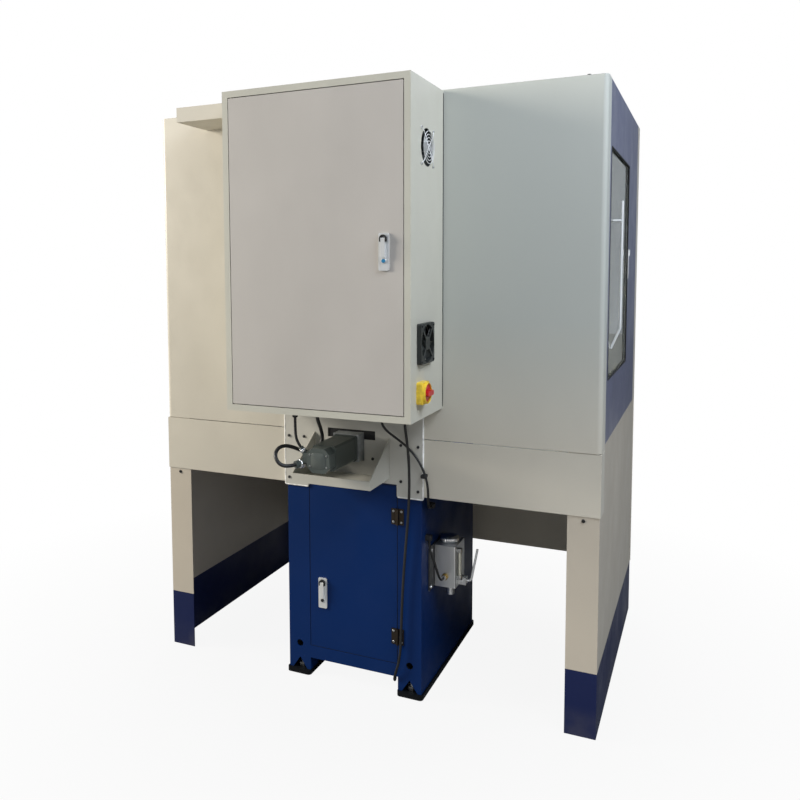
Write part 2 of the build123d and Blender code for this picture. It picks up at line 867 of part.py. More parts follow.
def cabinet_shell():
    """Cabinet box on four pads, with its door opening, fan and switch holes and hinge pins."""
    z = (cabinet_bottom, cabinet_top)
    front = rear_y + cabinet_stand_off
    shell = block((cabinet_low_x, cabinet_high_x), (front, cabinet_face), z)
    shell -= block((cabinet_low_x + cabinet_wall, cabinet_high_x - cabinet_wall),
                   (front + cabinet_wall, cabinet_face - cabinet_wall),
                   (z[0] + cabinet_wall, z[1] - cabinet_wall))
    open_x, open_z = cabinet_opening()
    shell -= block(open_x, about(cabinet_face, cut_over), open_z)
    wall = about(cabinet_low_x, cut_over)
    for back, height in ((upper_fan_back, upper_fan_height), (lower_fan_back, lower_fan_height)):
        shell -= rod("X", fan_bore_radius, (rear_y + back, height), wall)
    for x in (cabinet_low_x, cabinet_high_x - pad_size):
        for pad_z in (z[0], z[1] - pad_size):
            shell += block((x, x + pad_size), (rear_y, front), (pad_z, pad_z + pad_size))
    pivot = cabinet_pivot()
    lug_y = (pivot[1] - pivot_lug, cabinet_face - cabinet_wall)
    for edge, away in ((open_z[0], -1), (open_z[1], 1)):
        outer_z = edge + away * (cabinet_frame - cabinet_wall)
        shell += block(about(pivot[0], pivot_lug), lug_y, (edge, outer_z))
        shell += rod("Z", pivot_radius, pivot, (edge - away * pivot_length, edge))
    return shell


def cabinet_door():
    """Inset cabinet door with its pivot holes."""
    x, z = cabinet_opening()
    door_x = (x[0] + cabinet_door_gap, x[1] - cabinet_door_gap)
    door_z = (z[0] + cabinet_door_gap, z[1] - cabinet_door_gap)
    door = pan_door(door_x, door_z, cabinet_face, cabinet_door_depth, cabinet_wall)
    pivot = cabinet_pivot()
    for edge in door_z:
        boss = block(about(pivot[0], pivot_lug),
                     (cabinet_face - cabinet_door_depth, cabinet_face - cabinet_wall),
                     (edge, edge + pivot_length * (1 if edge == door_z[0] else -1)))
        door += boss
        door -= rod("Z", pivot_radius + running_gap, pivot, about(edge, pivot_length))
    latch_x, latch_z = cabinet_latch_place()
    return door - button_hole(latch_x, latch_z + latch_height / 2 - button_drop, cabinet_face)


def cabinet_latch_place():
    """Middle of the cabinet door's latch."""
    x, z = cabinet_opening()
    return x[0] + cabinet_latch_inset, cabinet_latch_height


def drive_rack():
    """Mounting plate on studs inside the cabinet, with drives, a supply and cable ducts."""
    back = rear_y + cabinet_stand_off + cabinet_wall
    plate_y = (back + rack_stand_off, back + rack_stand_off + rack_plate)
    x = (cabinet_low_x + rack_margin, cabinet_high_x - rack_margin)
    z = (cabinet_bottom + rack_margin, cabinet_top - rack_margin)
    plate = block(x, plate_y, z)
    for stud_x in (x[0] + rack_margin, x[1] - rack_margin):
        for stud_z in (z[0] + rack_margin, z[1] - rack_margin):
            plate += rod("Y", stud_pad, (stud_x, stud_z), (back, plate_y[0]))
    units = [plate]
    drive_z = (z[1] - drive_drop - drive_height, z[1] - drive_drop)
    for index in range(drive_count):
        middle = cabinet_offset + (index - (drive_count - 1) / 2) * drive_pitch
        units.append(block(about(middle, drive_width / 2), (plate_y[1], plate_y[1] + drive_depth), drive_z))
    for duct_z in (drive_z[1] + duct_width, drive_z[0] - 2 * duct_width):
        units.append(block((x[0] + rack_margin, x[1] - rack_margin), (plate_y[1], plate_y[1] + duct_depth),
                           (duct_z, duct_z + duct_width)))
    supply_z = z[0] + rack_margin
    units.append(block(about(cabinet_offset, supply_width / 2), (plate_y[1], plate_y[1] + supply_depth),
                       (supply_z, supply_z + supply_height)))
    return units


def on_cabinet_side(back, height):
    """Frame on the cabinet's left side: local X up, Y to the rear and Z outwards."""
    return Pos(cabinet_low_x, rear_y + back, height) * Rot(0, -90, 0)


def fan_square(low, high):
    """Square fan frame with its round bore, in the fan's own frame."""
    frame = rounded(block(about(0, fan_side / 2), about(0, fan_side / 2), (low, high)), Axis.Z, fan_corner)
    return frame - rod("Z", fan_bore_radius, (0, 0), (low - cut_over, high + cut_over))


def fan_spider(low, high):
    """Crossed struts with a bored middle disc, which carries the fan's shaft."""
    reach = fan_bore_radius + fan_corner / 2
    spider = Rot(0, 0, 45) * block(about(0, reach), about(0, fan_strut_width / 2), (low, high))
    spider += Rot(0, 0, -45) * block(about(0, reach), about(0, fan_strut_width / 2), (low, high))
    spider += rod("Z", fan_hub_radius, (0, 0), (low, high))
    return spider - rod("Z", fan_shaft_radius + running_gap, (0, 0), (low - cut_over, high + cut_over))


def fan_housings():
    """Upper fan frame inside the cabinet's side, and lower fan frame on its outside."""
    inner = -cabinet_wall - fan_frame_depth
    upper = fan_square(inner, -cabinet_wall) + fan_spider(inner, inner + fan_disc_thickness)
    lower = fan_square(0, lower_fan_proud) + fan_spider(lower_fan_proud - fan_disc_thickness, lower_fan_proud)
    return [on_cabinet_side(upper_fan_back, upper_fan_height) * upper,
            on_cabinet_side(lower_fan_back, lower_fan_height) * lower]


def fan_rotor(low, high, shaft_end):
    """Hub, pitched blades and shaft, in the fan's own frame."""
    middle = (low + high) / 2
    rotor = rod("Z", fan_hub_radius, (0, 0), (low, high))
    blade_x = (fan_hub_radius - fan_blade_thickness, fan_blade_reach)
    for index in range(fan_blade_count):
        blade = block(blade_x, about(0, fan_blade_chord / 2), about(0, fan_blade_thickness / 2))
        turn = Rot(0, 0, 360 * index / fan_blade_count)
        rotor += turn * Pos(0, 0, middle) * Rot(fan_blade_pitch, 0, 0) * blade
    return rotor + rod("Z", fan_shaft_radius, (0, 0), (middle, shaft_end))


def fan_rotors():
    """Rotors of the upper and lower fan."""
    inner = -cabinet_wall - fan_frame_depth
    upper_low = inner + fan_disc_thickness + fan_disc_gap
    upper = fan_rotor(upper_low, upper_low + upper_rotor_depth, inner)
    lower_high = lower_fan_proud - fan_disc_thickness - fan_disc_gap
    lower = fan_rotor(lower_high - lower_rotor_depth, lower_high, lower_fan_proud)
    return (on_cabinet_side(upper_fan_back, upper_fan_height) * upper,
            on_cabinet_side(lower_fan_back, lower_fan_height) * lower)


def fan_guard():
    """Wire guard over the upper fan: rings on crossed wires that end in screw feet."""
    corner = fan_screw_pitch / 2
    level = guard_stand_off
    wire_level = level - guard_wire_radius
    top = level + guard_wire_radius
    guard = [rod("Z", guard_middle_radius, (0, 0), (wire_level - guard_post_radius, top))]
    for index in range(guard_ring_count):
        radius = (index + 1) * guard_ring_pitch
        ring = rod("Z", radius + guard_wire_radius, (0, 0), (wire_level, top))
        guard.append(ring - rod("Z", radius - guard_wire_radius, (0, 0),
                                (wire_level - cut_over, level + cut_over)))
    for turn in (45, -45):
        wire = rod("X", guard_wire_radius, (0, wire_level), about(0, corner * math.sqrt(2)))
        guard.append(Rot(0, 0, turn) * wire)
    for x in (-corner, corner):
        for y in (-corner, corner):
            guard.append(rod("Z", guard_foot_radius, (x, y), (0, guard_foot_thickness)))
            guard.append(rod("Z", guard_post_radius, (x, y), (0, top)))
    whole = guard[0].fuse(*guard[1:])
    return on_cabinet_side(upper_fan_back, upper_fan_height) * whole


def switch_parts():
    """Main switch: square base and round knob with a grip."""
    base = rounded(block(about(0, switch_side / 2), about(0, switch_side / 2), (0, switch_thickness)), Axis.Z,
                   switch_corner)
    stem_low = switch_thickness - knob_stem_length
    base -= rod("Z", knob_stem_radius + running_gap, (0, 0),
                (stem_low - slide_gap, switch_thickness + cut_over))
    low = switch_thickness + slide_gap
    high = low + knob_thickness
    knob = rod("Z", knob_radius, (0, 0), (low, high)) + rod("Z", knob_stem_radius, (0, 0), (stem_low, low))
    grip = block(about(0, knob_grip_width / 2), about(0, knob_grip_length / 2),
                 (high, high + knob_grip_thickness))
    knob += rounded(grip, Axis.Z, knob_grip_width / 3)
    place = on_cabinet_side(switch_back, switch_height)
    return place * base, place * knob


# Rear plate and axis motor

def plate_window():
    """Outline of the rear plate's window: wide above, narrow round the bearing nose."""
    return [(-plate_slot_half, plate_slot_bottom), (plate_slot_half, plate_slot_bottom),
            (plate_slot_half, plate_window_bottom), (plate_window_half, plate_window_bottom),
            (plate_window_half, plate_window_top), (-plate_window_half, plate_window_top),
            (-plate_window_half, plate_window_bottom), (-plate_slot_half, plate_window_bottom)]


def rear_plate():
    """Plate that closes the middle of the rear, stepped over the stand's door."""
    half = plate_width / 2
    outline = [(-half, plate_bottom), (-plate_step_half, plate_bottom), (-plate_step_half, plate_step),
               (plate_step_half, plate_step), (plate_step_half, plate_bottom), (half, plate_bottom),
               (half, plate_top), (-half, plate_top)]
    plate = prism("Y", outline, (rear_y, plate_face))
    return plate - prism("Y", plate_window(), (rear_y - cut_over, plate_face + cut_over))


def plate_bolts():
    """Button heads on the rear plate."""
    places = [(side * outer_bolt_x, z) for side in (-1, 1) for z in outer_bolt_heights]
    places += [(side * inner_bolt_x, z) for side in (-1, 1) for z in inner_bolt_heights]
    places += [(side * tray_bolt_x, tray_bolt_height) for side in (-1, 1)]
    bolts = []
    for place in places:
        head = rod("Y", plate_bolt_radius, place, (plate_face, plate_face + plate_bolt_head))
        rim = head.edges().filter_by(GeomType.CIRCLE).sort_by(Axis.Y)[-1]
        bolts.append(fillet(rim, plate_bolt_head / 2))
    return bolts


def motor_tray():
    """Sheet tray under the axis motor: floor, end lip and two gussets."""
    end = plate_face + tray_reach
    tray = block(about(0, tray_half), (plate_face, end), (tray_bottom, tray_bottom + tray_sheet))
    tray += block(about(0, tray_half), (end - tray_sheet, end), (tray_bottom, tray_bottom + tray_lip))
    gusset = [(plate_face, tray_bottom), (end, tray_bottom), (end, tray_bottom + tray_lip),
              (plate_face, tray_bottom + tray_gusset)]
    for side in (-1, 1):
        tray += prism("X", gusset, (side * tray_half, side * (tray_half - tray_sheet)))
    return tray


def square_motor(half, chamfer_size, low, high):
    """Square motor body with chamfered corners, along Z about the origin."""
    body = block(about(0, half), about(0, half), (low, high))
    return chamfer(body.edges().filter_by(Axis.Z), chamfer_size)


def servo_motor():
    """Axis motor along +Z: mounting flange, body and end cap."""
    flange_end = motor_flange
    body_end = flange_end + motor_body
    motor = square_motor(motor_flange_half, motor_chamfer, 0, flange_end)
    motor += square_motor(motor_half, motor_chamfer, flange_end, body_end)
    return motor + square_motor(motor_cap_half, motor_cap_chamfer, body_end, body_end + motor_cap)


def servo_motors():
    """Axis motors of the saddle, at the rear, and of the head, on the column."""
    saddle_motor = Pos(0, rear_y + nose_reach, screw_height) * turns["Y"] * servo_motor()
    head_motor = Pos(0, z_screw_y(), column_top) * servo_motor()
    return [saddle_motor, head_motor]


def motor_plugs():
    """Connector box on the motor's right side with its power and signal plugs."""
    back = rear_y + plug_box_back
    box = block((motor_half, motor_half + plug_box_width), (back, back + plug_box_length),
                (plug_box_bottom, plug_box_top))
    for start, end, radius, ring in (
            (power_plug_start, power_plug_end, power_plug_radius, power_plug_ring),
            (signal_plug_start, signal_plug_end, signal_plug_radius, signal_plug_ring)):
        box += bar_between(start, end, radius)
        run = Vector(*end) - Vector(*start)
        ring_start = Vector(*start) + run * (1 - 2 * plug_ring_share)
        ring_end = Vector(*start) + run * (1 - plug_ring_share)
        box += bar_between(tuple(ring_start), tuple(ring_end), ring)
    keep_out = block((-motor_half, motor_half), (back - motor_body, back + motor_body),
                     about(screw_height, motor_half))
    return box - keep_out


# Machine inside the enclosure

def z_screw_y():
    """Depth of the head's feed screw, in front of the column."""
    return rear_y - base_rear - column_depth - z_screw_out


def base_casting():
    """Base with a channel for the feed screw, two ways and the bearing nose behind."""
    rear = rear_y - base_rear
    front = rear - base_length
    base = block(about(0, base_half), (front, rear), (stand_height, base_top))
    base -= block(about(0, channel_half), (front + base_end_wall, rear - base_end_wall),
                  (channel_floor, base_top + cut_over))
    base += block(about(0, nose_half), (rear, rear_y + nose_reach), about(screw_height, nose_half))
    rails_y = (rear_y - rail_start - rail_length, rear_y - rail_start)
    for side in (-1, 1):
        base += block(about(side * y_rail_x, rail_width / 2), rails_y, (base_top, base_top + rail_height))
    bore = (front - cut_over, rear_y + nose_reach + cut_over)
    return base - rod("Y", feed_screw_radius + running_gap, (0, screw_height), bore)


def y_screw():
    """Feed screw of the saddle, from the bearing nose to the front end wall."""
    front = rear_y - base_rear - base_length
    return rod("Y", feed_screw_radius, (0, screw_height), (front, rear_y + nose_reach))


def saddle():
    """Saddle on the base's ways, with its nut below and the table's rails on top."""
    y = (rear_y - saddle_start - saddle_length, rear_y - saddle_start)
    body = block(about(0, saddle_half), y, (saddle_bottom, saddle_top))
    along = (y[0] - cut_over, y[1] + cut_over)
    for side in (-1, 1):
        body -= block(about(side * y_rail_x, rail_width / 2 + slide_gap), along,
                      (saddle_bottom - cut_over, base_top + rail_height + slide_gap))
    middle = (y[0] + y[1]) / 2
    body += block(about(0, nut_half), about(middle, nut_length / 2), (screw_height - nut_half, saddle_bottom))
    for rail_y in (y[0] + x_rail_inset, y[1] - x_rail_inset):
        body += block(about(0, saddle_half), about(rail_y, rail_width / 2),
                      (saddle_top, saddle_top + rail_height))
    body -= rod("Y", feed_screw_radius + running_gap, (0, screw_height), along)
    return body - rod("X", x_tunnel_radius, (middle, x_screw_height), about(0, saddle_half + cut_over))


def table_middle():
    """Depth of the table's middle, over the saddle's middle."""
    return rear_y - saddle_start - saddle_length / 2


def table():
    """Slotted table on the saddle's rails, with an end bracket for its feed screw on each side."""
    middle = table_middle()
    bottom = saddle_top + table_gap
    top = bottom + table_thickness
    plate = block(about(0, table_half), about(middle, table_width / 2), (bottom, top))
    ends = about(0, table_half + cut_over)
    for offset in (saddle_length / 2 - x_rail_inset, x_rail_inset - saddle_length / 2):
        plate -= block(ends, about(middle + offset, rail_width / 2 + slide_gap),
                       (bottom - cut_over, saddle_top + rail_height + slide_gap))
    for index in range(slot_count):
        y = middle + (index - (slot_count - 1) / 2) * slot_pitch
        plate -= block(ends, about(y, slot_width / 2), (top - slot_depth, top + cut_over))
        plate -= block(ends, about(y, slot_foot_width / 2),
                       (top - slot_depth, top - slot_depth + slot_foot_depth))
    for side in (-1, 1):
        plate += block((side * table_half, side * (table_half - table_bracket)),
                       about(middle, table_bracket_half),
                       (table_bracket_bottom, bottom))
    return plate - rod("X", x_screw_radius + running_gap, (middle, x_screw_height), ends)


def x_screw():
    """Feed screw of the table, between its end brackets."""
    return rod("X", x_screw_radius, (table_middle(), x_screw_height), about(0, table_half))


def x_motor():
    """Axis motor on the table's right end."""
    body = square_motor(table_motor_half, motor_chamfer, 0, table_motor_length)
    return Pos(table_half, table_middle(), x_screw_height) * turns["X"] * body


def column():
    """Hollow column with the head's rails and the brackets of its feed screw."""
    rear = rear_y - base_rear
    face = rear - column_depth
    body = block(about(0, column_half), (face, rear), (base_top, column_top))
    body -= block(about(0, column_half - column_wall), (face + column_wall, rear - column_wall),
                  (base_top - cut_over, column_top - column_wall))
    for side in (-1, 1):
        body += block(about(side * z_rail_x, rail_width / 2), (face - rail_height, face),
                      (z_rail_bottom, z_rail_top))
    for low in (z_bracket_low, column_top - z_bracket_thickness):
        body += block(about(0, z_bracket_half), (face - z_bracket_reach, face),
                      (low, low + z_bracket_thickness))
    return body - rod("Z", feed_screw_radius + running_gap, (0, z_screw_y()),
                      (z_bracket_low - cut_over, column_top + cut_over))


def z_screw():
    """Feed screw of the head, between the column's brackets."""
    return rod("Z", feed_screw_radius, (0, z_screw_y()), (z_bracket_low, column_top))


def spindle_y():
    """Depth of the spindle's axis, in front of the column."""
    return rear_y - base_rear - column_depth - spindle_out


def head():
    """Head on the column's rails, bored for the spindle and for its feed screw."""
    face = rear_y - base_rear - column_depth
    z = (head_bottom, head_bottom + head_height)
    body = block(about(0, head_half), (face - head_reach, face - head_gap), z)
    body = rounded(body, Axis.Z, head_edge)
    through = (z[0] - cut_over, z[1] + cut_over)
    for side in (-1, 1):
        body -= block(about(side * z_rail_x, rail_width / 2 + slide_gap),
                      (face - rail_height - slide_gap, face), through)
        body -= block((side * head_pocket_start, side * (head_half - head_wall)),
                      (face - head_reach + head_wall, face - head_pocket_rear),
                      (z[0] - cut_over, z[1] - head_wall))
    body -= rod("Z", feed_screw_radius + running_gap, (0, z_screw_y()), through)
    return body - rod("Z", spindle_radius + running_gap, (0, spindle_y()),
                      (z[0] - cut_over, z[1] - spindle_top_room))


def spindle():
    """Spindle with a straight tool socket in its nose."""
    low = head_bottom - spindle_nose
    top = head_bottom + head_height - spindle_top_room - slide_gap
    body = rod("Z", spindle_radius, (0, spindle_y()), (low, top))
    return body - rod("Z", collet_radius, (0, spindle_y()), (low - cut_over, low + collet_depth))


def spindle_motor():
    """Spindle motor on top of the head."""
    low = head_bottom + head_height
    motor = block(about(0, spindle_motor_half), about(spindle_y(), spindle_motor_half),
                  (low, low + spindle_motor_length))
    return rounded(motor, Axis.Z, spindle_motor_edge)


# Hand oil pump

def pump_limits():
    """X and Y limits of the oil pump's body."""
    inner = stand_side_x - pump_plate
    return (inner - pump_width, inner), (rear_y - pump_rear - pump_depth, rear_y - pump_rear)


def pump_pivot():
    """X and Z of the pump lever's pin."""
    x, y = pump_limits()
    return x[0] - ear_reach / 2, (pump_ear_bottom + pump_ear_top) / 2


def pump_body():
    """Oil pump body on its mounting plate, with filler neck, outlet, sight tube, fitting and lever ears."""
    x, y = pump_limits()
    top = pump_bottom + pump_height
    middle = ((x[0] + x[1]) / 2, (y[0] + y[1]) / 2)
    plate_y = (rear_y - pump_plate_rear - pump_plate_length, rear_y - pump_plate_rear)
    body = rounded(block(x, y, (pump_bottom, top)), Axis.Z, pump_edge)
    body += block((stand_side_x - pump_plate, stand_side_x), plate_y, (pump_plate_bottom, pump_plate_top))
    body += rod("Z", neck_radius, middle, (top, top + neck_height))
    outlet = (middle[0] - outlet_offset, y[1] - outlet_back)
    body += rod("Z", outlet_radius, outlet, (pump_bottom - outlet_length, pump_bottom))
    sight = (x[0] - sight_stand_off, y[1] - sight_back)
    body += rod("Z", sight_radius, sight, (sight_bottom, sight_top))
    for boss_z in (sight_bottom, sight_top):
        body += block(about(x[0], sight_boss), about(sight[1], sight_radius), about(boss_z, sight_radius))
    fitting = (x[1] - fitting_inset, pump_bottom + fitting_rise)
    body += rod("Y", fitting_radius, fitting, (y[1], y[1] + fitting_length))
    ear_y = y[1] - pump_ear_back - sight_back
    for low in (ear_y - pump_ear_gap - 2 * pump_ear_thickness, ear_y - pump_ear_thickness):
        body += block((x[0] - ear_reach, x[0]), (low, low + pump_ear_thickness),
                      (pump_ear_bottom, pump_ear_top))
    pin_y = (ear_y - pump_ear_gap - 2 * pump_ear_thickness - cut_over, ear_y + cut_over)
    return body - rod("Y", lever_pin + running_gap, pump_pivot(), pin_y)


def pump_cap():
    """Round filler cap over the neck."""
    x, y = pump_limits()
    middle = ((x[0] + x[1]) / 2, (y[0] + y[1]) / 2)
    low = pump_bottom + pump_height + cap_seat_gap
    cap = rod("Z", cap_radius, middle, (low, low + cap_height))
    return cap - rod("Z", neck_radius + running_gap, middle, (low - cut_over, low + neck_height))


def pump_lever():
    """Bent rod lever on a hub and pin between the ears."""
    x, y = pump_limits()
    pivot_x, pivot_z = pump_pivot()
    ear_y = y[1] - pump_ear_back - sight_back
    hub_y = (ear_y - pump_ear_gap - pump_ear_thickness + slide_gap, ear_y - pump_ear_thickness - slide_gap)
    middle = (hub_y[0] + hub_y[1]) / 2
    lever = rod("Y", lever_hub_radius, (pivot_x, pivot_z), hub_y)
    lever += rod("Y", lever_pin, (pivot_x, pivot_z), (ear_y - pump_ear_gap - 2 * pump_ear_thickness, ear_y))
    foot_x = pivot_x - lever_out
    path = Plane.XZ.offset(-middle) * FilletPolyline(
        (pivot_x, pivot_z), (foot_x, pivot_z), (foot_x - lever_lean, pivot_z + lever_rise), radius=lever_bend)
    return lever + swept_tube(path, lever_rod_radius)


# Cables

def corner_radii(points):
    """Largest arc radius that the two runs at each corner of a route allow."""
    radii = []
    for before, here, after in zip(points, points[1:], points[2:]):
        first = Vector(*here) - Vector(*before)
        second = Vector(*after) - Vector(*here)
        turn = math.radians(first.get_angle(second))
        radii.append(0.45 * min(first.length, second.length) / math.tan(turn / 2))
    return radii


def cable(name, points, diameter):
    """Tube along a hand-chosen route of straight runs joined by the largest arcs that fit."""
    radii = corner_radii(points)
    path = FilletPolyline(*points, radius=radii)
    tube = swept_tube(path, diameter / 2)
    section = math.pi * diameter ** 2 / 4
    print(name, "length", round(path.length, 1), "volume share",
          round(tube.volume / (section * path.length), 4),
          "tightest", round(min(radii) / diameter, 2), "diameters", [round(radius) for radius in radii])
    return tube


def cable_glands():
    """Glands under the cabinet and entry boxes on the stand's side, where the cables end."""
    glands = []
    for route in (mains_route, list(reversed(motor_cable_route)), list(reversed(encoder_route)),
                  signal_route):
        glands.append(rod("Z", gland_radius, route[0][:2], (cabinet_bottom - gland_length, cabinet_bottom)))
    x, y, z = signal_route[-1]
    glands.append(block((stand_side_x, x - entry_half), (y - entry_length, y), about(z, entry_half)))
    x, y, z = hose_route[-1]
    glands.append(block((stand_side_x, x - entry_half), about(y, entry_half), (z, z + entry_length)))
    return glands


def mains_coil():
    """Outer shape of the coil of mains cord on the floor under the stand."""
    inner = coil_mean_radius - coil_width / 2
    outer = coil_mean_radius + coil_width / 2
    ring = rod("Z", outer, coil_centre, (0, coil_height)) - rod("Z", inner, coil_centre,
                                                               (-cut_over, coil_height + cut_over))
    return fillet(ring.edges().filter_by(GeomType.CIRCLE), coil_edge)


def mains_plug():
    """Mains plug with three flat pins, lying against the coil."""
    start = coil_centre[0] + plug_offset
    middle = coil_centre[1] - coil_mean_radius - coil_width / 2 + mains_diameter / 2
    x = (start, start + plug_length)
    body = block(x, about(middle, plug_width / 2), (0, plug_height))
    body = rounded(body, Axis.X, plug_edge)
    for step in (-1, 0, 1):
        body += block((x[1], x[1] + plug_pin_length),
                      about(middle + step * plug_pin_pitch, plug_pin_thickness / 2),
                      about(plug_height / 2, plug_pin_width / 2))
    return body


def build_nodes():
    """Every node of the part with its solids."""
    door_frame, door_pane, door_tracks = front_door_parts()
    control, stop = control_parts()
    hinge_fixed, hinge_moving = hinge_sets()
    stand_latch = latch(*stand_latch_place(), rear_y)
    cabinet_latch = latch(*cabinet_latch_place(), cabinet_face)
    upper_rotor, lower_rotor = fan_rotors()
    switch_base, switch_knob = switch_parts()
    sash_x, sash_y, sash_z = sash_places()
    return {
        "side_skirts": [side_channel(side, 0, skirt_height) for side in (-1, 1)],
        "lower_side_walls": [lower_side_wall(side) for side in (-1, 1)],
        "upper_side_panels": [upper_side_panel(side) for side in (-1, 1)],
        "outer_panels": [rear_panel(), apron(-1), apron(1), rear_hood(), roof()],
        "front_frame": [front_frame()],
        "chip_pan": [chip_pan()],
        "slide_tracks": door_tracks + sash_tracks(),
        "left_sash": [block(sash_x, sash_y, sash_z)],
        "sash_handle": [sash_handle()],
        "right_pane": [right_pane()],
        "front_door": [door_frame],
        "front_door_pane": [door_pane],
        "control_panel": [control],
        "stop_button": [stop],
        "stand_frame": [stand_frame()],
        "stand_door": [stand_door()],
        "stand_hinge_posts": hinge_fixed,
        "stand_hinge_leaves": hinge_moving,
        "stand_latch_plate": [stand_latch[0]],
        "stand_latch_lever": [stand_latch[1]],
        "stand_latch_button": [stand_latch[2]],
        "cabinet_shell": [cabinet_shell()],
        "cabinet_door": [cabinet_door()],
        "cabinet_latch_plate": [cabinet_latch[0]],
        "cabinet_latch_lever": [cabinet_latch[1]],
        "cabinet_latch_button": [cabinet_latch[2]],
        "drive_rack": drive_rack(),
        "fan_housings": fan_housings(),
        "fan_guard": [fan_guard()],
        "upper_fan_rotor": [upper_rotor],
        "lower_fan_rotor": [lower_rotor],
        "switch_base": [switch_base],
        "switch_knob": [switch_knob],
        "rear_plate": [rear_plate()],
        "bolts": plate_bolts() + levelling_studs(),
        "motor_tray": [motor_tray()],
        "servo_motors": servo_motors(),
        "motor_plugs": [motor_plugs()],
        "base_casting": [base_casting()],
        "y_screw": [y_screw()],
        "saddle": [saddle()],
        "table": [table()],
        "x_screw": [x_screw()],
        "x_motor": [x_motor()],
        "column": [column()],
        "z_screw": [z_screw()],
        "head": [head()],
        "spindle": [spindle()],
        "spindle_motor": [spindle_motor()],
        "pump_body": [pump_body()],
        "pump_cap": [pump_cap()],
        "pump_lever": [pump_lever()],
        "motor_cable": [cable("motor_cable", motor_cable_route, motor_cable_diameter)],
        "encoder_cable": [cable("encoder_cable", encoder_route, encoder_diameter)],
        "signal_cable": [cable("signal_cable", signal_route, signal_diameter)],
        "oil_hose": [cable("oil_hose", hose_route, hose_diameter)],
        "cable_glands": cable_glands(),
        "mains_cord": [cable("mains_cord", mains_route, mains_diameter)],
        "mains_coil": [mains_coil()],
        "mains_plug": [mains_plug()],
    }


def write_parts():
    """Write one file per node."""
    os.makedirs("parts", exist_ok=True)
    for name, shapes in build_nodes().items():
        solids = [solid for shape in shapes for solid in shape.solids()]
        whole = solids[0] if len(solids) == 1 else Compound(solids)
        export_step(whole, os.path.join("parts", name + ".step"))


write_parts()
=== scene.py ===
import logging
import math
from dataclasses import dataclass, field
from enum import Enum
from typing import ClassVar, Sequence

import bmesh
import bpy
import numpy as np
from mathutils import Matrix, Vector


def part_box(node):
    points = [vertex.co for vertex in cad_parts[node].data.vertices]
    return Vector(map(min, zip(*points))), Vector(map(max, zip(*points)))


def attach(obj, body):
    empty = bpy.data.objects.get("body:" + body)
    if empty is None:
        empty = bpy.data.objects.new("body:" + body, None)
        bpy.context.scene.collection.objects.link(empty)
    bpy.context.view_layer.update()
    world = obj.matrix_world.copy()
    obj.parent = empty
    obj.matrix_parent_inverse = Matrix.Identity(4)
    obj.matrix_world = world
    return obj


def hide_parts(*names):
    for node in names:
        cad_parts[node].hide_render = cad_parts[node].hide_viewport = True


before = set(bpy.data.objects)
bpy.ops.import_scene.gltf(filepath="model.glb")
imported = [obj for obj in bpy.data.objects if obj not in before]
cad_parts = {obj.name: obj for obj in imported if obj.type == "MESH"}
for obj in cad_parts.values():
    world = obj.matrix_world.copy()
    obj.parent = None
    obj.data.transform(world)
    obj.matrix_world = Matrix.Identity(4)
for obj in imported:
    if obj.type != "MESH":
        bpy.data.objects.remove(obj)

LOG = logging.getLogger("milling_machine")
Array = np.ndarray
Shell = tuple[Array, Array]
Pair = tuple[float, float]
Triple = tuple[float, float, float]
Colour = Triple
Point = Triple
Paint = tuple[float, float, float, float]
Socket = bpy.types.NodeSocket

# Depth in metres by which a piece sinks into what carries it, and the most that a plate's edge is broken
SINK = 0.0003
BROKEN_EDGE = 0.0012


class Body(Enum):
    """Rigid bodies that the pieces ride on."""

    FRAME = "frame"
    STAND_DOOR = "stand_door"
    CABINET_DOOR = "cabinet_door"
    PUMP_CAP = "pump_cap"
    X_SCREW = "x_screw"
    Y_SCREW = "y_screw"
    Z_SCREW = "z_screw"
    HEAD = "head"
    SPINDLE = "spindle"


class Facing(Enum):
    """Which way a flat place on the machine looks: its right, up and outward directions."""

    REAR = ((-1, 0, 0), (0, 0, 1), (0, 1, 0))
    FRONT = ((1, 0, 0), (0, 0, 1), (0, -1, 0))
    LEFT = ((0, -1, 0), (0, 0, 1), (-1, 0, 0))
    RIGHT = ((0, 1, 0), (0, 0, 1), (1, 0, 0))
    UP = ((1, 0, 0), (0, 1, 0), (0, 0, 1))
    DOWN = ((-1, 0, 0), (0, 1, 0), (0, 0, -1))


def linear(colour: Colour) -> Paint:
    """Turn a colour of 0 to 255 as seen on a screen into a shader's linear colour.

    Args:
        colour: Red, green and blue from 0 to 255.

    Returns:
        Linear red, green, blue and an alpha of 1.
    """
    share = np.asarray(colour, float) / 255.0
    value = np.where(share <= 0.04045, share / 12.92, ((share + 0.055) / 1.055) ** 2.4)
    return (float(value[0]), float(value[1]), float(value[2]), 1.0)


@dataclass(frozen=True)
class Place:
    """A flat place on the machine: an origin in metres and the way it faces."""

    origin: Point
    facing: Facing

    def at(self, local: Array) -> Array:
        """Turn an array of local right, up and out coordinates into the machine's frame."""
        axes = np.asarray(self.facing.value, float)
        return np.asarray(self.origin, float) + np.asarray(local, float) @ axes


@dataclass(frozen=True)
class Extent:
    """Lowest and highest corner of some carried-over nodes, in metres."""

    low: Array
    high: Array

    @staticmethod
    def of(*nodes: str) -> "Extent":
        """Extent of all the named nodes together."""
        corners = np.array([[tuple(corner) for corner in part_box(node)] for node in nodes])
        return Extent(corners[:, 0].min(axis=0), corners[:, 1].max(axis=0))

    @property
    def middle(self) -> Array:
        """Middle of the extent."""
        return (self.low + self.high) / 2

    @property
    def size(self) -> Array:
        """Size along each axis."""
        return self.high - self.low


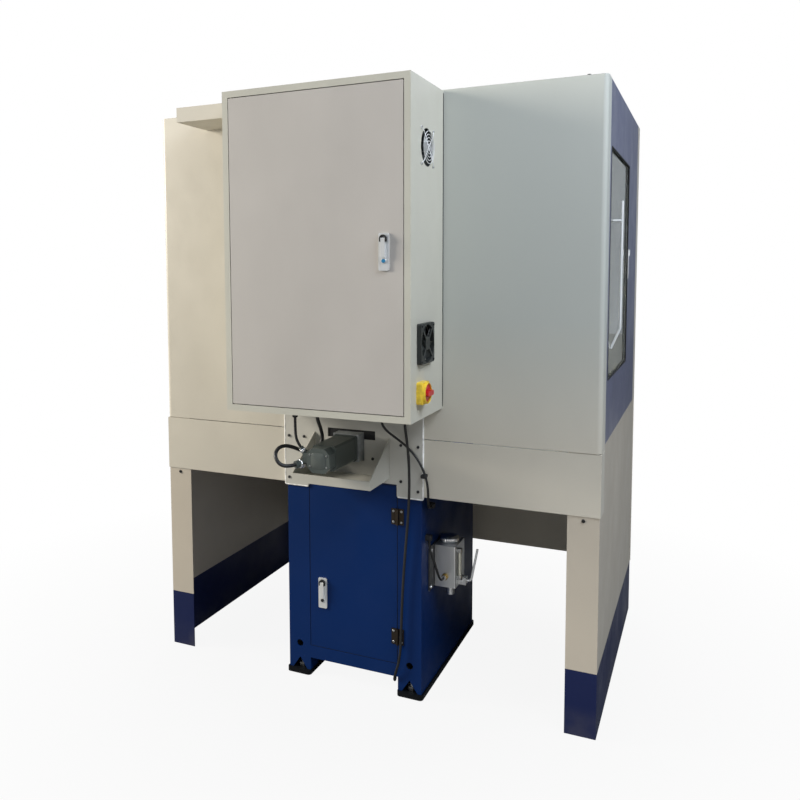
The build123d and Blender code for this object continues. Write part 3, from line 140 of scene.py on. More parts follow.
@dataclass(frozen=True)
class Layout:
    """Main planes of the machine, taken from the frame, in metres."""

    rear: float
    left: float
    right: float
    height: float
    sheet: float = 0.0025

    @staticmethod
    def of_frame() -> "Layout":
        """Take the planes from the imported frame.

        Returns:
            The planes.
        """
        sides = Extent.of("upper_side_panels")
        rear = float(Extent.of("stand_door").high[1])
        return Layout(rear, float(sides.low[0]), float(sides.high[0]), float(sides.high[2]))


PLAN = Layout.of_frame()


# Surfaces worked out as whole arrays

def wrapped(points: Array, closed: bool = False) -> Shell:
    """Shell of a grid of points: each row runs round to its own start and is joined to the next row.

    Args:
        points: Grid of points, row by row.
        closed: Join the last row to the first.

    Returns:
        Points, and quads of four point numbers each.
    """
    rows, columns = points.shape[:2]
    row, column = np.meshgrid(np.arange(rows if closed else rows - 1), np.arange(columns), indexing="ij")
    next_row, next_column = (row + 1) % rows, (column + 1) % columns
    corners = [row * columns + column, row * columns + next_column, next_row * columns + next_column,
               next_row * columns + column]
    return points.reshape(-1, 3), np.stack(corners, axis=-1).reshape(-1, 4)


def around(count: int) -> Array:
    """Angles evenly round a circle."""
    return np.linspace(0, 2 * math.pi, count, endpoint=False)


def rounded_outline(width: float, height: float, corner: float, per_corner: int = 6) -> Array:
    """Rounded rectangle: each corner is a quarter circle about a centre one radius inside both sides.

    Args:
        width: Full width.
        height: Full height.
        corner: Corner radius.
        per_corner: Points on each quarter circle.

    Returns:
        Array of points in the plane, counter-clockwise.
    """
    least = 1e-5
    corner = max(min(corner, width / 2 - least, height / 2 - least), least)
    signs = np.array([[1, 1], [-1, 1], [-1, -1], [1, -1]], float)
    angle = np.linspace(0, math.pi / 2, per_corner)[None, :] + np.arange(4)[:, None] * math.pi / 2
    centre = signs * np.array([width / 2 - corner, height / 2 - corner])
    arc = corner * np.stack([np.cos(angle), np.sin(angle)], axis=-1)
    return (centre[:, None, :] + arc).reshape(-1, 2)


def raised(place: Place, width: float, height: float, corner: float,
           steps: Sequence[Pair]) -> Shell:
    """Plate with a shaped edge: its outline at each step's inset and height, closed to its middle.

    Args:
        place: Where the plate's middle is.
        width: Full width at no inset.
        height: Full height at no inset.
        corner: Corner radius at no inset.
        steps: Inset from the outline and height outwards, from the back of the plate to its front.

    Returns:
        Points and quads.
    """
    rows = [rounded_outline(width - 2 * inset, height - 2 * inset, corner - inset) for inset, rise in steps]
    flat = np.stack([rows[0] * 0.0] + rows + [rows[-1] * 0.0])
    rises = np.array([rise for inset, rise in (steps[0], *steps, steps[-1])])
    local = np.concatenate([flat, np.broadcast_to(rises[:, None, None], flat.shape[:2] + (1,))], axis=-1)
    return wrapped(place.at(local))


def spun(place: Place, radius: Array, rise: Array) -> Shell:
    """Radii carried round the outward axis: one column for each angle, one row for each height.

    Args:
        place: Origin and outward axis.
        radius: Grid of radii.
        rise: Height outwards of each row.

    Returns:
        Points and quads.
    """
    angle = around(radius.shape[1])
    rises = np.broadcast_to(rise[:, None], radius.shape)
    return wrapped(place.at(np.stack([radius * np.cos(angle), radius * np.sin(angle), rises], axis=-1)))


def turned(place: Place, profile: Sequence[Sequence[float]], segments: int = 32, ridges: int = 0,
           ridge_share: float = 0.0) -> Shell:
    """Turned form: each profile point goes round the outward axis, where marked with its radius rippled.

    The radius at angle a is r times (1 + weight times ridge_share times the cosine of ridges times a).

    Args:
        place: Origin and outward axis.
        profile: Radius, height outwards and, for a rippled point, a weight of 1.
        segments: Points round the axis.
        ridges: Number of ripples round the axis.
        ridge_share: Depth of a ripple as a share of the radius.

    Returns:
        Points and quads.
    """
    rows = np.array([tuple(point) + (0.0,) * (3 - len(point)) for point in profile], float)
    ripple = 1.0 + rows[:, 2:3] * ridge_share * np.cos(ridges * around(segments))[None, :]
    return spun(place, rows[:, 0:1] * ripple, rows[:, 1])


def threaded(place: Place, radius: float, depth: float, pitch: float, length: float) -> Shell:
    """Threaded bar: the radius is r minus depth times a rounded wave of height over pitch minus turns.

    Args:
        place: One end's middle and the bar's axis.
        radius: Outer radius.
        depth: Depth of the thread.
        pitch: Height of one turn.
        length: Length of the bar.

    Returns:
        Points and quads, with both ends closed.
    """
    segments, rows_per_turn, crest = 24, 8, 0.6
    along = np.linspace(0, length, int(length / pitch * rows_per_turn) + 1)
    turn = around(segments)[None, :] / (2 * math.pi)
    wave = 0.5 - 0.5 * np.cos(2 * math.pi * (along[:, None] / pitch - turn))
    closing = np.zeros((1, segments))
    grid = np.concatenate([closing, radius - depth * wave ** crest, closing])
    return spun(place, grid, np.concatenate([along[:1], along, along[-1:]]))


def carried(profile: Array, path: Array, normal: Sequence[float], closed: bool) -> Shell:
    """Section carried along a flat path.

    Its first coordinate goes along the cross product of tangent and normal, its second along the normal.

    Args:
        profile: Closed section, in order round it.
        path: Points of the path, all in one plane.
        normal: Normal of that plane.
        closed: The path's end joins its start.

    Returns:
        Points and quads, with the ends closed to their middles on an open path.
    """
    normal = np.asarray(normal, float)
    if closed:
        tangent = np.roll(path, -1, axis=0) - np.roll(path, 1, axis=0)
    else:
        tangent = np.gradient(path, axis=0)
    side = np.cross(tangent, normal)
    side /= np.linalg.norm(side, axis=1, keepdims=True)
    points = path[:, None, :] + profile[None, :, 0:1] * side[:, None, :] + profile[None, :, 1:2] * normal
    if not closed:
        middle = points.mean(axis=1, keepdims=True) + np.zeros_like(points)
        points = np.concatenate([middle[:1], points, middle[-1:]])
    return wrapped(points, closed)


def hoop(section: Array, middle: Sequence[float], width: float, height: float, corner: float,
         axis: int) -> Shell:
    """Section carried round a rounded rectangle that lies square to one axis.

    Args:
        section: Closed section.
        middle: Middle of the rectangle.
        width: Width of the rectangle.
        height: Height of the rectangle.
        corner: Corner radius of the rectangle.
        axis: Number of the axis.

    Returns:
        Points and quads.
    """
    path = np.insert(rounded_outline(width, height, corner), axis, 0.0, axis=1) + np.asarray(middle, float)
    return carried(section, path, np.eye(3)[axis], True)


def screw_head(place: Place, radius: float, rise: float) -> Shell:
    """Round screw head: a flat dome with a socket sunk in its middle, and a foot that is hidden.

    Args:
        place: Middle of the head's foot.
        radius: Radius of the head.
        rise: Height of the head.

    Returns:
        Points and quads.
    """
    foot = 0.0004
    shape = [(0, 0.3), (0.42, 0.3), (0.48, 1), (0.8, 0.98), (0.96, 0.72), (1, 0.35)]
    profile = [(share * radius, part * rise) for share, part in shape]
    return turned(place, profile + [(radius, -foot), (0, -foot)], 20)


def corner_screws(place: Place, halves: Pair, radius: float, rise: float,
                  level: float = 0.0) -> list[Shell]:
    """Four screw heads at the corners of a rectangle.

    Args:
        place: Middle of the rectangle.
        halves: Half of its width and of its height.
        radius: Radius of a head.
        rise: Height of a head.
        level: Height outwards of the rectangle.

    Returns:
        Shells of the heads.
    """
    signs = np.array([(-1, -1, 1), (-1, 1, 1), (1, -1, 1), (1, 1, 1)])
    corners = place.at(signs * np.array([*halves, level]))
    return [screw_head(Place(tuple(corner), place.facing), radius, rise) for corner in corners]


def plain_plate(place: Place, width: float, height: float, thickness: float) -> Shell:
    """Flat plate with softly broken edges, standing outwards from a place."""
    edge = min(BROKEN_EDGE, thickness / 3)
    return raised(place, width, height, 2 * edge, [(0, -SINK), (0, thickness - edge), (edge, thickness)])


# Finishes

class Graph:
    """Shader nodes of one material or world, with the few wirings that they share."""

    def __init__(self, owner: bpy.types.Material | bpy.types.World) -> None:
        """Start on the nodes that the owner comes with."""
        owner.use_nodes = True
        self.tree = owner.node_tree

    @property
    def shader(self) -> bpy.types.Node:
        """A material's principled shader."""
        return self.tree.nodes["Principled BSDF"]

    def feed(self, node: bpy.types.Node, inputs: dict[str | int, object]) -> None:
        """Fill a node's inputs.

        Args:
            node: Node to fill.
            inputs: Socket to link or value to set, by the input's name or number.
        """
        for key, value in inputs.items():
            if isinstance(value, Socket):
                self.tree.links.new(value, node.inputs[key])
            else:
                node.inputs[key].default_value = value

    def node(self, kind: str, inputs: dict[str | int, object], **settings: str) -> bpy.types.Node:
        """Add a node.

        Args:
            kind: Kind of the node, without its prefix.
            inputs: Socket to link or value to set, by the input's name or number.
            settings: Choices such as the operation.

        Returns:
            The node.
        """
        node = self.tree.nodes.new("ShaderNode" + kind)
        for name, choice in settings.items():
            setattr(node, name, choice)
        self.feed(node, inputs)
        return node

    def place(self) -> Socket:
        """Socket of the Object coordinates."""
        return self.node("TexCoord", {}).outputs["Object"]

    def along(self, axis: str) -> Socket:
        """Socket of the place along one axis."""
        return self.node("SeparateXYZ", {"Vector": self.place()}).outputs[axis]

    def noise(self, scale: float, detail: float, stretch: Sequence[float] = (1, 1, 1)) -> Socket:
        """Factor socket of noise, with its waves per metre, its octaves and its scale along each axis."""
        vector = self.node("Mapping", {"Vector": self.place(), "Scale": stretch}).outputs["Vector"]
        return self.node("TexNoise", {"Vector": vector, "Scale": scale, "Detail": detail}).outputs["Fac"]

    def ramp(self, factor: Socket, first: tuple[float, Paint], second: tuple[float, Paint]) -> Socket:
        """Colour ramp over a factor.

        Args:
            factor: Socket to read.
            first: Position and colour of the first stop.
            second: Position and colour of the second stop.

        Returns:
            The ramp's colour socket.
        """
        node = self.node("ValToRGB", {"Fac": factor})
        for element, (position, colour) in zip(node.color_ramp.elements, (first, second)):
            element.position = position
            element.color = colour
        return node.outputs["Color"]

    def mix(self, factor: Socket, first: Socket, second: Paint) -> Socket:
        """Mix a colour socket towards a fixed colour, by the node's numbered colour inputs."""
        return self.node("Mix", {0: factor, 6: first, 7: second}, data_type="RGBA").outputs[2]

    def mix_shaders(self, factor: Socket, first: Socket, second: Socket) -> Socket:
        """Mix two shader sockets by a factor."""
        return self.node("MixShader", {0: factor, 1: first, 2: second}).outputs[0]

    def level(self, factor: Socket, low: float, high: float, start: float, end: float) -> Socket:
        """Spread a factor from its start to its end evenly between a low and a high value."""
        inputs = {"Value": factor, "From Min": start, "From Max": end, "To Min": low, "To Max": high}
        return self.node("MapRange", inputs).outputs["Result"]

    def maths(self, operation: str, first: Socket, second: Socket) -> Socket:
        """A named operation on two value sockets."""
        return self.node("Math", {0: first, 1: second}, operation=operation).outputs[0]

    def relief(self, height: Socket, strength: float, distance: float) -> Socket:
        """Normal socket of fine relief, with its share and its height in metres."""
        inputs = {"Height": height, "Strength": strength, "Distance": distance}
        return self.node("Bump", inputs).outputs["Normal"]

    def seen_directly(self) -> Socket:
        """Socket that is 1 for camera and see-through rays."""
        rays = self.node("LightPath", {}).outputs
        return self.maths("MAXIMUM", rays["Is Camera Ray"], rays["Is Transmission Ray"])


@dataclass(frozen=True)
class Finish:
    """A finish with one material, made once."""

    name: str
    colour: Colour

    def material(self) -> bpy.types.Material:
        """The finish's material, made at the first call.

        Returns:
            The material.
        """
        found = bpy.data.materials.get(self.name)
        if not found:
            found = bpy.data.materials.new(self.name)
            graph = Graph(found)
            graph.feed(graph.shader, self.inputs(graph))
        return found

    def inputs(self, graph: Graph) -> dict[str, object]:
        """Sockets and values for the shader's inputs."""
        raise NotImplementedError

    def tone(self, share: float) -> Paint:
        """Linear colour of the finish, made lighter or darker by a share."""
        return linear(tuple(min(255.0, part * share) for part in self.colour))

    def tones(self, graph: Graph, factor: Socket, dark: float, light: float, start: float = 0.3,
              end: float = 0.7) -> Socket:
        """Colour socket that goes from a dark to a light tone of the finish while a factor rises."""
        return graph.ramp(factor, (start, self.tone(dark)), (end, self.tone(light)))


@dataclass(frozen=True)
class Enamel(Finish):
    """Sprayed enamel on sheet: fine orange peel, faint clouds, specks and smears, dust near the floor, and
    where asked, painted shade.
    """

    gloss: float = 0.42
    peel: float = 0.25
    cloud: float = 0.03
    specular: float = 0.45
    dust_height: float = 0.0
    dust_tone: Colour = (110, 106, 98)
    black_below: float = 0.0
    black_tone: Colour = (15, 17, 20)
    painted_shade_above: float = 0.0
    painted_shade_rise: float = 0.40
    painted_shade_tone: Colour = (183, 188, 183)

    def inputs(self, graph: Graph) -> dict[str, object]:
        """Paint with clouds, specks and smears, and where asked for dust, a black foot or a cooler, darker
        painted shade on the upper left side.

        Args:
            graph: Nodes of the material.

        Returns:
            Sockets and values for the shader's inputs.
        """
        paint = self.tones(graph, graph.noise(2.2, 4.0, (1.0, 1.0, 0.6)), 1 - self.cloud, 1 + self.cloud)
        speckle = graph.level(graph.noise(520.0, 2.0), 0.0, 0.10, 0.62, 0.75)
        paint = graph.mix(speckle, paint, self.tone(0.72))
        smears = graph.level(graph.noise(7.0, 5.0, (1.0, 1.0, 0.25)), 0.0, 0.07, 0.5, 0.85)
        paint = graph.mix(smears, paint, self.tone(0.86))
        if self.dust_height:
            near_floor = graph.level(graph.along("Z"), 0.3, 0.0, 0.0, self.dust_height)
            patches = graph.level(graph.noise(14.0, 6.0), 0.2, 1.0, 0.35, 0.7)
            paint = graph.mix(graph.maths("MULTIPLY", near_floor, patches), paint, linear(self.dust_tone))
        if self.black_below:
            edge = graph.level(graph.along("Z"), 1.0, 0.0, self.black_below, self.black_below + 0.0004)
            paint = graph.mix(edge, paint, linear(self.black_tone))
        # Painted shade: on the machine's left (-X) side above the given height, the paint turns cooler and
        # darker, as in the cabinet's shade.
        if self.painted_shade_above:
            left = graph.level(graph.along("X"), 0.8, 0.0, -0.25, 0.05)
            above = graph.level(graph.along("Z"), 0.0, 1.0, self.painted_shade_above, self.painted_shade_above + self.painted_shade_rise)
            paint = graph.mix(graph.maths("MULTIPLY", left, above), paint, linear(self.painted_shade_tone))
        rough = graph.level(graph.noise(9.0, 4.0), self.gloss - 0.07, self.gloss + 0.10, 0.3, 0.7)
        return {"Base Color": paint, "Roughness": rough, "Specular IOR Level": self.specular,
                "Normal": graph.relief(graph.noise(760.0, 2.0), self.peel, 0.00025)}


@dataclass(frozen=True)
class Casting(Finish):
    """Painted casting: mottled paint on a coarse skin."""

    def inputs(self, graph: Graph) -> dict[str, object]:
        """Mottled paint with a coarse relief."""
        return {"Base Color": self.tones(graph, graph.noise(30.0, 6.0), 0.85, 1.12, 0.35, 0.68),
                "Roughness": graph.level(graph.noise(55.0, 4.0), 0.38, 0.62, 0.3, 0.7),
                "Normal": graph.relief(graph.noise(260.0, 4.0), 0.35, 0.0006)}


@dataclass(frozen=True)
class Metal(Finish):
    """Bare metal: brushed along one direction, or polished where the streaks are weak."""

    gloss: float = 0.32
    streak: float = 0.5
    along: Triple = (1.0, 1.0, 0.02)
    metallic: float = 1.0

    def inputs(self, graph: Graph) -> dict[str, object]:
        """Brushed lines in tone, roughness and relief, with faint stains.

        Args:
            graph: Nodes of the material.

        Returns:
            Sockets and values for the shader's inputs.
        """
        streak = self.streak
        lines = graph.noise(900.0, 3.0, self.along)
        tone = self.tones(graph, lines, 1 - 0.25 * streak, 1 + 0.08 * streak)
        stain = graph.level(graph.noise(26.0, 5.0), 0.0, 0.25 * streak, 0.55, 0.8)
        rough = graph.level(lines, self.gloss - 0.08 * streak, self.gloss + 0.16 * streak, 0.3, 0.7)
        return {"Base Color": graph.mix(stain, tone, self.tone(0.6)), "Roughness": rough,
                "Normal": graph.relief(lines, 0.25 * streak, 0.0001), "Metallic": self.metallic}


@dataclass(frozen=True)
class Moulded(Finish):
    """Moulded plastic or rubber: fine grain and a little handling gloss."""

    gloss: float = 0.45
    grain: float = 0.3

    def inputs(self, graph: Graph) -> dict[str, object]:
        """Faintly mottled tone with a fine grain."""
        rough = graph.level(graph.noise(34.0, 4.0), self.gloss - 0.08, self.gloss + 0.12, 0.3, 0.7)
        return {"Base Color": self.tones(graph, graph.noise(60.0, 4.0), 0.88, 1.10, 0.3, 0.72),
                "Roughness": rough, "Normal": graph.relief(graph.noise(1500.0, 2.0), self.grain, 0.00015)}


@dataclass(frozen=True)
class Pane(Finish):
    """Clear sheet with a faint haze of coolant mist."""

    clear: float = 0.92
    bending: float = 1.18

    def inputs(self, graph: Graph) -> dict[str, object]:
        """Clear sheet, rougher where the mist has dried."""
        return {"Base Color": self.tones(graph, graph.noise(3.0, 4.0), 0.96, 1.0),
                "Roughness": graph.level(graph.noise(11.0, 6.0), 0.02, 0.12, 0.5, 0.8),
                "Transmission Weight": self.clear, "IOR": self.bending}


class Finishes:
    """All finishes of this machine."""

    # The panel carries painted shade: cooler and darker on its upper left (-X) side.
    PANEL = Enamel("panel_enamel", (200, 194, 180), gloss=0.40, painted_shade_above=0.887)
    FRONT = Enamel("front_enamel", (200, 194, 180), gloss=0.40)
    REAR = Enamel("plate_enamel", (190, 188, 180), gloss=0.42)
    CABINET = Enamel("cabinet_enamel", (184, 179, 173), gloss=0.46, peel=0.4)
    SHELL = Enamel("shell_enamel", (189, 187, 175), gloss=0.46, peel=0.4)
    SIDE = Enamel("side_enamel", (98, 101, 124), gloss=0.36)
    WALL = Enamel("wall_enamel", (188, 179, 164), gloss=0.45)
    SKIRT = Enamel("skirt_enamel", (22, 32, 72), gloss=0.44, specular=0.2, dust_height=0.10)
    STAND = Enamel("stand_enamel", (6, 38, 88), gloss=0.42, specular=0.15, black_below=0.0162)
    TRAY = Enamel("tray_enamel", (190, 188, 178), gloss=0.45)
    MOTOR = Enamel("motor_enamel", (78, 85, 82), gloss=0.36, peel=0.2)
    MOTOR_CAP = Enamel("motor_cap_enamel", (84, 90, 87), gloss=0.30, peel=0.2)
    CAST = Casting("casting_paint", (150, 154, 156))
    STEEL = Metal("brushed_steel", (196, 196, 195), gloss=0.36)
    GROUND = Metal("ground_steel", (204, 204, 203), gloss=0.30, streak=0.4, along=(0.02, 1.0, 1.0))
    BRIGHT = Metal("bright_plating", (236, 237, 238), gloss=0.20, streak=0.15)
    LATCH = Metal("latch_plating", (232, 233, 232), gloss=0.34, streak=0.2, metallic=0.45)
    # Painted sheen: chrome rods, wires and lever get a near-white, mostly non-metal colour that stands in for
    # their bright reflection.
    ROD_PAINTED_SHEEN = Metal("rod_plating_painted_sheen", (246, 247, 247), gloss=0.24, streak=0.1, metallic=0.2)
    HINGE = Metal("hinge_steel", (74, 66, 58), gloss=0.42, streak=0.6)
    # Painted light: the aluminium pump gets a near-white, mostly non-metal colour so it reads lit and sheeny
    # in the stand's shade.
    PUMP = Metal("pump_aluminium", (234, 235, 236), gloss=0.46, streak=0.4, along=(1.0, 1.0, 1.0),
                 metallic=0.15)
    BRASS = Metal("brass_fitting", (176, 148, 84), gloss=0.30, streak=0.4)
    BLACK = Moulded("black_moulding", (26, 26, 27), gloss=0.50)
    FAN = Moulded("fan_moulding", (36, 40, 39), gloss=0.42)
    JACKET = Moulded("cable_jacket", (24, 24, 25), gloss=0.44, grain=0.15)
    RUBBER = Moulded("edging_rubber", (20, 20, 22), gloss=0.62)
    YELLOW = Moulded("switch_yellow", (238, 200, 60), gloss=0.36)
    RED = Moulded("switch_red", (196, 26, 34), gloss=0.34)
    BLUE = Moulded("button_blue", (46, 132, 178), gloss=0.30)
    WHITE = Moulded("white_moulding", (226, 226, 222), gloss=0.44)
    # White beads that paint the highlight on the rear plate's bent edges.
    EDGE_HIGHLIGHT = Moulded("white_edge_highlight", (234, 233, 229), gloss=0.55, grain=0.5)
    KEYS = Moulded("grey_keys", (120, 124, 128), gloss=0.5)
    DRIVE = Moulded("drive_case", (48, 50, 53), gloss=0.5)
    SCREEN = Moulded("dark_screen", (14, 18, 22), gloss=0.16, grain=0.02)
    WINDOW = Pane("clear_pane", (222, 226, 222))
    SIGHT = Pane("sight_glass", (214, 212, 198), clear=0.7)


# Pieces

def placed(name: str, data: bpy.types.ID) -> bpy.types.Object:
    """Put data into the scene as an object.

    Args:
        name: Object name.
        data: Mesh, curve, lamp or camera.

    Returns:
        The object.
    """
    made = bpy.data.objects.new(name, data)
    bpy.context.scene.collection.objects.link(made)
    return made


def piece(name: str, shells: Sequence[Shell], finish: Finish,
          body: Body = Body.FRAME, replaces: Sequence[str] = (), sharp: float = 35.0) -> None:
    """Make one piece from its shells: points merged, faces outward, edges smoothed by angle.

    Args:
        name: Piece name.
        shells: Points and quads of each shell.
        finish: Finish of the piece.
        body: Body it rides on.
        replaces: Nodes that it stands for.
        sharp: Angle in degrees above which an edge stays sharp.
    """
    starts = np.cumsum([0] + [len(points) for points, quads in shells])
    points = np.concatenate([points for points, quads in shells])
    quads = np.concatenate([shell[1] + start for shell, start in zip(shells, starts)])
    mesh = bpy.data.meshes.new(name)
    mesh.from_pydata(points.tolist(), [], quads.tolist())
    work = bmesh.new()
    work.from_mesh(mesh)
    bmesh.ops.remove_doubles(work, verts=work.verts, dist=1e-6)
    bmesh.ops.recalc_face_normals(work, faces=work.faces)
    work.to_mesh(mesh)
    work.free()
    mesh.polygons.foreach_set("use_smooth", np.ones(len(mesh.polygons), bool))
    mesh.set_sharp_from_angle(angle=math.radians(sharp))
    mesh.materials.append(finish.material())
    made = placed(name, mesh)
    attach(made, body.value)
    if replaces:
        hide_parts(*replaces)
    LOG.info("%s: %d faces", name, len(mesh.polygons))


# Sub-assemblies

class Assembly:
    """A sub-assembly: finishes for its carried-over nodes, and pieces of its own."""

    finishes: ClassVar[dict[str, Finish]] = {}

    def dress(self) -> None:
        """Give each carried-over node its finish."""
        for node, finish in self.finishes.items():
            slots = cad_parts[node].data.materials
            slots.clear()
            slots.append(finish.material())

    def build(self) -> None:
        """Make the pieces."""
        raise NotImplementedError


@dataclass
class Enclosure(Assembly):
    """Sheet enclosure: window edging, catch, roof plugs and leg screws."""

    finishes = {"outer_panels": Finishes.PANEL, "front_frame": Finishes.FRONT,
                "upper_side_panels": Finishes.SIDE, "lower_side_walls": Finishes.WALL,
                "side_skirts": Finishes.SKIRT, "chip_pan": Finishes.STEEL, "slide_tracks": Finishes.GROUND,
                "left_sash": Finishes.WINDOW, "right_pane": Finishes.WINDOW, "sash_handle": Finishes.ROD_PAINTED_SHEEN}
    pane_lap: float = 0.018
    edging_section: Triple = (0.0058, 0.0052, 0.002)
    edging_corner: float = 0.008
    edging_shift: Pair = (0.0012, 0.0014)
    catch_lap: float = 0.006
    catch_rise: float = 0.355
    catch_size: Triple = (0.006, 0.106, 0.003)
    grip_size: Triple = (0.005, 0.024, 0.004)
    plug_radius: float = 0.0085
    plug_height: float = 0.008
    plug_foot: float = 0.0005
    plug_inset: Pair = (0.058, 0.026)
    leg_flange: float = 0.095
    leg_screw_drop: float = 0.014
    leg_screw: Pair = (0.0058, 0.0032)

    def edging(self, outer: float, side: int) -> Shell:
        """Rubber edging: a rounded section carried round the window's rounded outline.

        Args:
            outer: X of the wall's outer face.
            side: -1 for the left wall, 1 for the right one.

        Returns:
            Points and quads.
        """
        pane = Extent.of("right_pane")
        width, height = pane.size[1:] - 2 * self.pane_lap
        section = rounded_outline(*self.edging_section, per_corner=4)
        section = section + np.array([1, -side]) * self.edging_shift
        return hoop(section, (outer, *pane.middle[1:]), width, height, self.edging_corner, axis=0)

    def build(self) -> None:
        """Make the edging, the catch, the plugs and the screws."""
        piece("window_edging", [self.edging(PLAN.left, -1), self.edging(PLAN.right, 1)], Finishes.RUBBER)
        pane = Extent.of("right_pane")
        front_edge = pane.low[1] + self.pane_lap - self.catch_lap
        middle = pane.low[2] + self.pane_lap + self.catch_rise
        grip_middle = middle + (self.catch_size[1] - self.grip_size[1]) / 2
        strip = Place((PLAN.left, front_edge, middle), Facing.LEFT)
        grip = Place((PLAN.left - self.catch_size[2], front_edge, grip_middle), Facing.LEFT)
        catch = [plain_plate(strip, *self.catch_size), plain_plate(grip, *self.grip_size)]
        piece("window_catch", catch, Finishes.WHITE)
        plugs = []
        screws = []
        shape = [(0, 1), (0.5, 0.93), (0.85, 0.65), (1, 0.25)]
        profile = [(share * self.plug_radius, part * self.plug_height) for share, part in shape]
        profile += [(self.plug_radius, -self.plug_foot), (0, -self.plug_foot)]
        leg_middle = PLAN.sheet + self.leg_flange / 2
        screw_height = Extent.of("outer_panels").low[2] - self.leg_screw_drop
        for edge, inward in ((PLAN.left, 1), (PLAN.right, -1)):
            plug = (edge + inward * self.plug_inset[0], PLAN.rear - self.plug_inset[1], PLAN.height)
            plugs.append(turned(Place(plug, Facing.UP), profile))
            screw = (edge + inward * leg_middle, PLAN.rear - PLAN.sheet, screw_height)
            screws.append(screw_head(Place(screw, Facing.REAR), *self.leg_screw))
        piece("roof_plugs", plugs, Finishes.BLACK)
        piece("leg_screws", screws, Finishes.BLACK)


@dataclass
class FrontSide(Assembly):
    """Front door and control panel: screen, keys, jog wheel and stop ring."""

    finishes = {"front_door": Finishes.SIDE, "front_door_pane": Finishes.WINDOW,
                "control_panel": Finishes.SHELL, "stop_button": Finishes.RED}
    screen_drop: float = 0.160
    screen_recess: float = 0.003
    screen_size: Triple = (0.298, 0.198, 0.0018)
    key_rows: int = 3
    key_columns: int = 6
    key_pitch: float = 0.034
    key_size: float = 0.024
    key_corner: float = 0.004
    key_steps = ((0, -SINK), (0, 0.003), (0.002, 0.0045))
    first_key: Pair = (-0.135, -0.310)
    wheel_place: Pair = (-0.090, 0.075)
    wheel_profile = ((0, 0.014), (0.024, 0.014), (0.028, 0.012), (0.030, 0.010, 1), (0.030, 0.003, 1),
                     (0.033, 0.002), (0.034, -SINK), (0, -SINK))
    stop_inset: float = 0.080
    ring_profile = ((0.0095, -SINK), (0.0095, 0.0002), (0.0212, 0.0002), (0.0218, 0.002), (0.026, 0.002),
                    (0.028, 0.0012), (0.028, -SINK), (0.0095, -SINK))

    def build(self) -> None:
        """Make the screen, the keys, the jog wheel and the stop ring."""
        panel = Extent.of("control_panel")
        face, middle = panel.low[1], panel.middle[0]
        screen = Place((middle, face + self.screen_recess, panel.high[2] - self.screen_drop), Facing.FRONT)
        piece("screen_glass", [plain_plate(screen, *self.screen_size)], Finishes.SCREEN)
        keys = []
        for row in range(self.key_rows):
            for column in range(self.key_columns):
                across = middle + self.first_key[0] + column * self.key_pitch
                up = panel.high[2] + self.first_key[1] - row * self.key_pitch
                place = Place((across, face, up), Facing.FRONT)
                keys.append(raised(place, self.key_size, self.key_size, self.key_corner, self.key_steps))
        piece("panel_keys", keys, Finishes.KEYS)
        wheel = (middle + self.wheel_place[0], face, panel.low[2] + self.wheel_place[1])
        jog = turned(Place(wheel, Facing.FRONT), self.wheel_profile, 96, ridges=24, ridge_share=0.03)
        piece("jog_wheel", [jog], Finishes.BLACK)
        ring = (panel.high[0] - self.stop_inset, face, panel.low[2] + self.stop_inset)
        stop = turned(Place(ring, Facing.FRONT), self.ring_profile, 48)
        piece("stop_ring", [stop], Finishes.YELLOW)


@dataclass
class Latch(Assembly):
    """Flush latch on a rear-facing door: dark arch round the lever's top and a ring round the button."""

    name: str
    body: Body
    button: Finish
    plate_thickness: float = 0.005
    pivot_drop: float = 0.017
    button_drop: float = 0.080
    arch_radius: float = 0.0089
    arch_rise: float = 0.0015
    arch_section: Pair = (0.0042, 0.0092)
    arch_corner: float = 0.001
    arch_sink: float = 0.0002
    leg_length: float = 0.008
    ring_profile = ((0.0062, -SINK), (0.0062, 0.0012), (0.0080, 0.0012), (0.0086, 0.0006), (0.0086, -SINK),
                    (0.0062, -SINK))

    @property
    def finishes(self) -> dict[str, Finish]:
        """Finishes of the plate, the lever and the button."""
        return {f"{self.name}_latch_plate": Finishes.LATCH, f"{self.name}_latch_lever": Finishes.LATCH,
                f"{self.name}_latch_button": self.button}

    def build(self) -> None:
        """Make the arch, a half circle on two straight legs, and the button's ring."""
        plate = Extent.of(f"{self.name}_latch_plate")
        face = plate.low[1] + self.plate_thickness
        pivot = Place((plate.middle[0], face, plate.high[2] - self.pivot_drop), Facing.REAR)
        turn = np.linspace(0, math.pi, 17)
        leg = np.linspace(-self.leg_length, self.arch_rise, 5)[:-1]
        foot = np.full(len(leg), self.arch_radius)
        right = np.concatenate([foot, self.arch_radius * np.cos(turn), -foot])
        up = np.concatenate([leg, self.arch_rise + self.arch_radius * np.sin(turn), leg[::-1]])
        level = np.full(len(up), self.arch_section[1] / 2 - self.arch_sink)
        path = pivot.at(np.column_stack([right, up, level]))
        section = rounded_outline(*self.arch_section, self.arch_corner, per_corner=3)
        arch = carried(section, path, (0, 1, 0), False)
        piece(f"{self.name}_latch_arch", [arch], Finishes.BLACK, body=self.body)
        button = Place((plate.middle[0], face, plate.high[2] - self.button_drop), Facing.REAR)
        ring = turned(button, self.ring_profile, 32)
        piece(f"{self.name}_latch_ring", [ring], Finishes.LATCH, self.body)


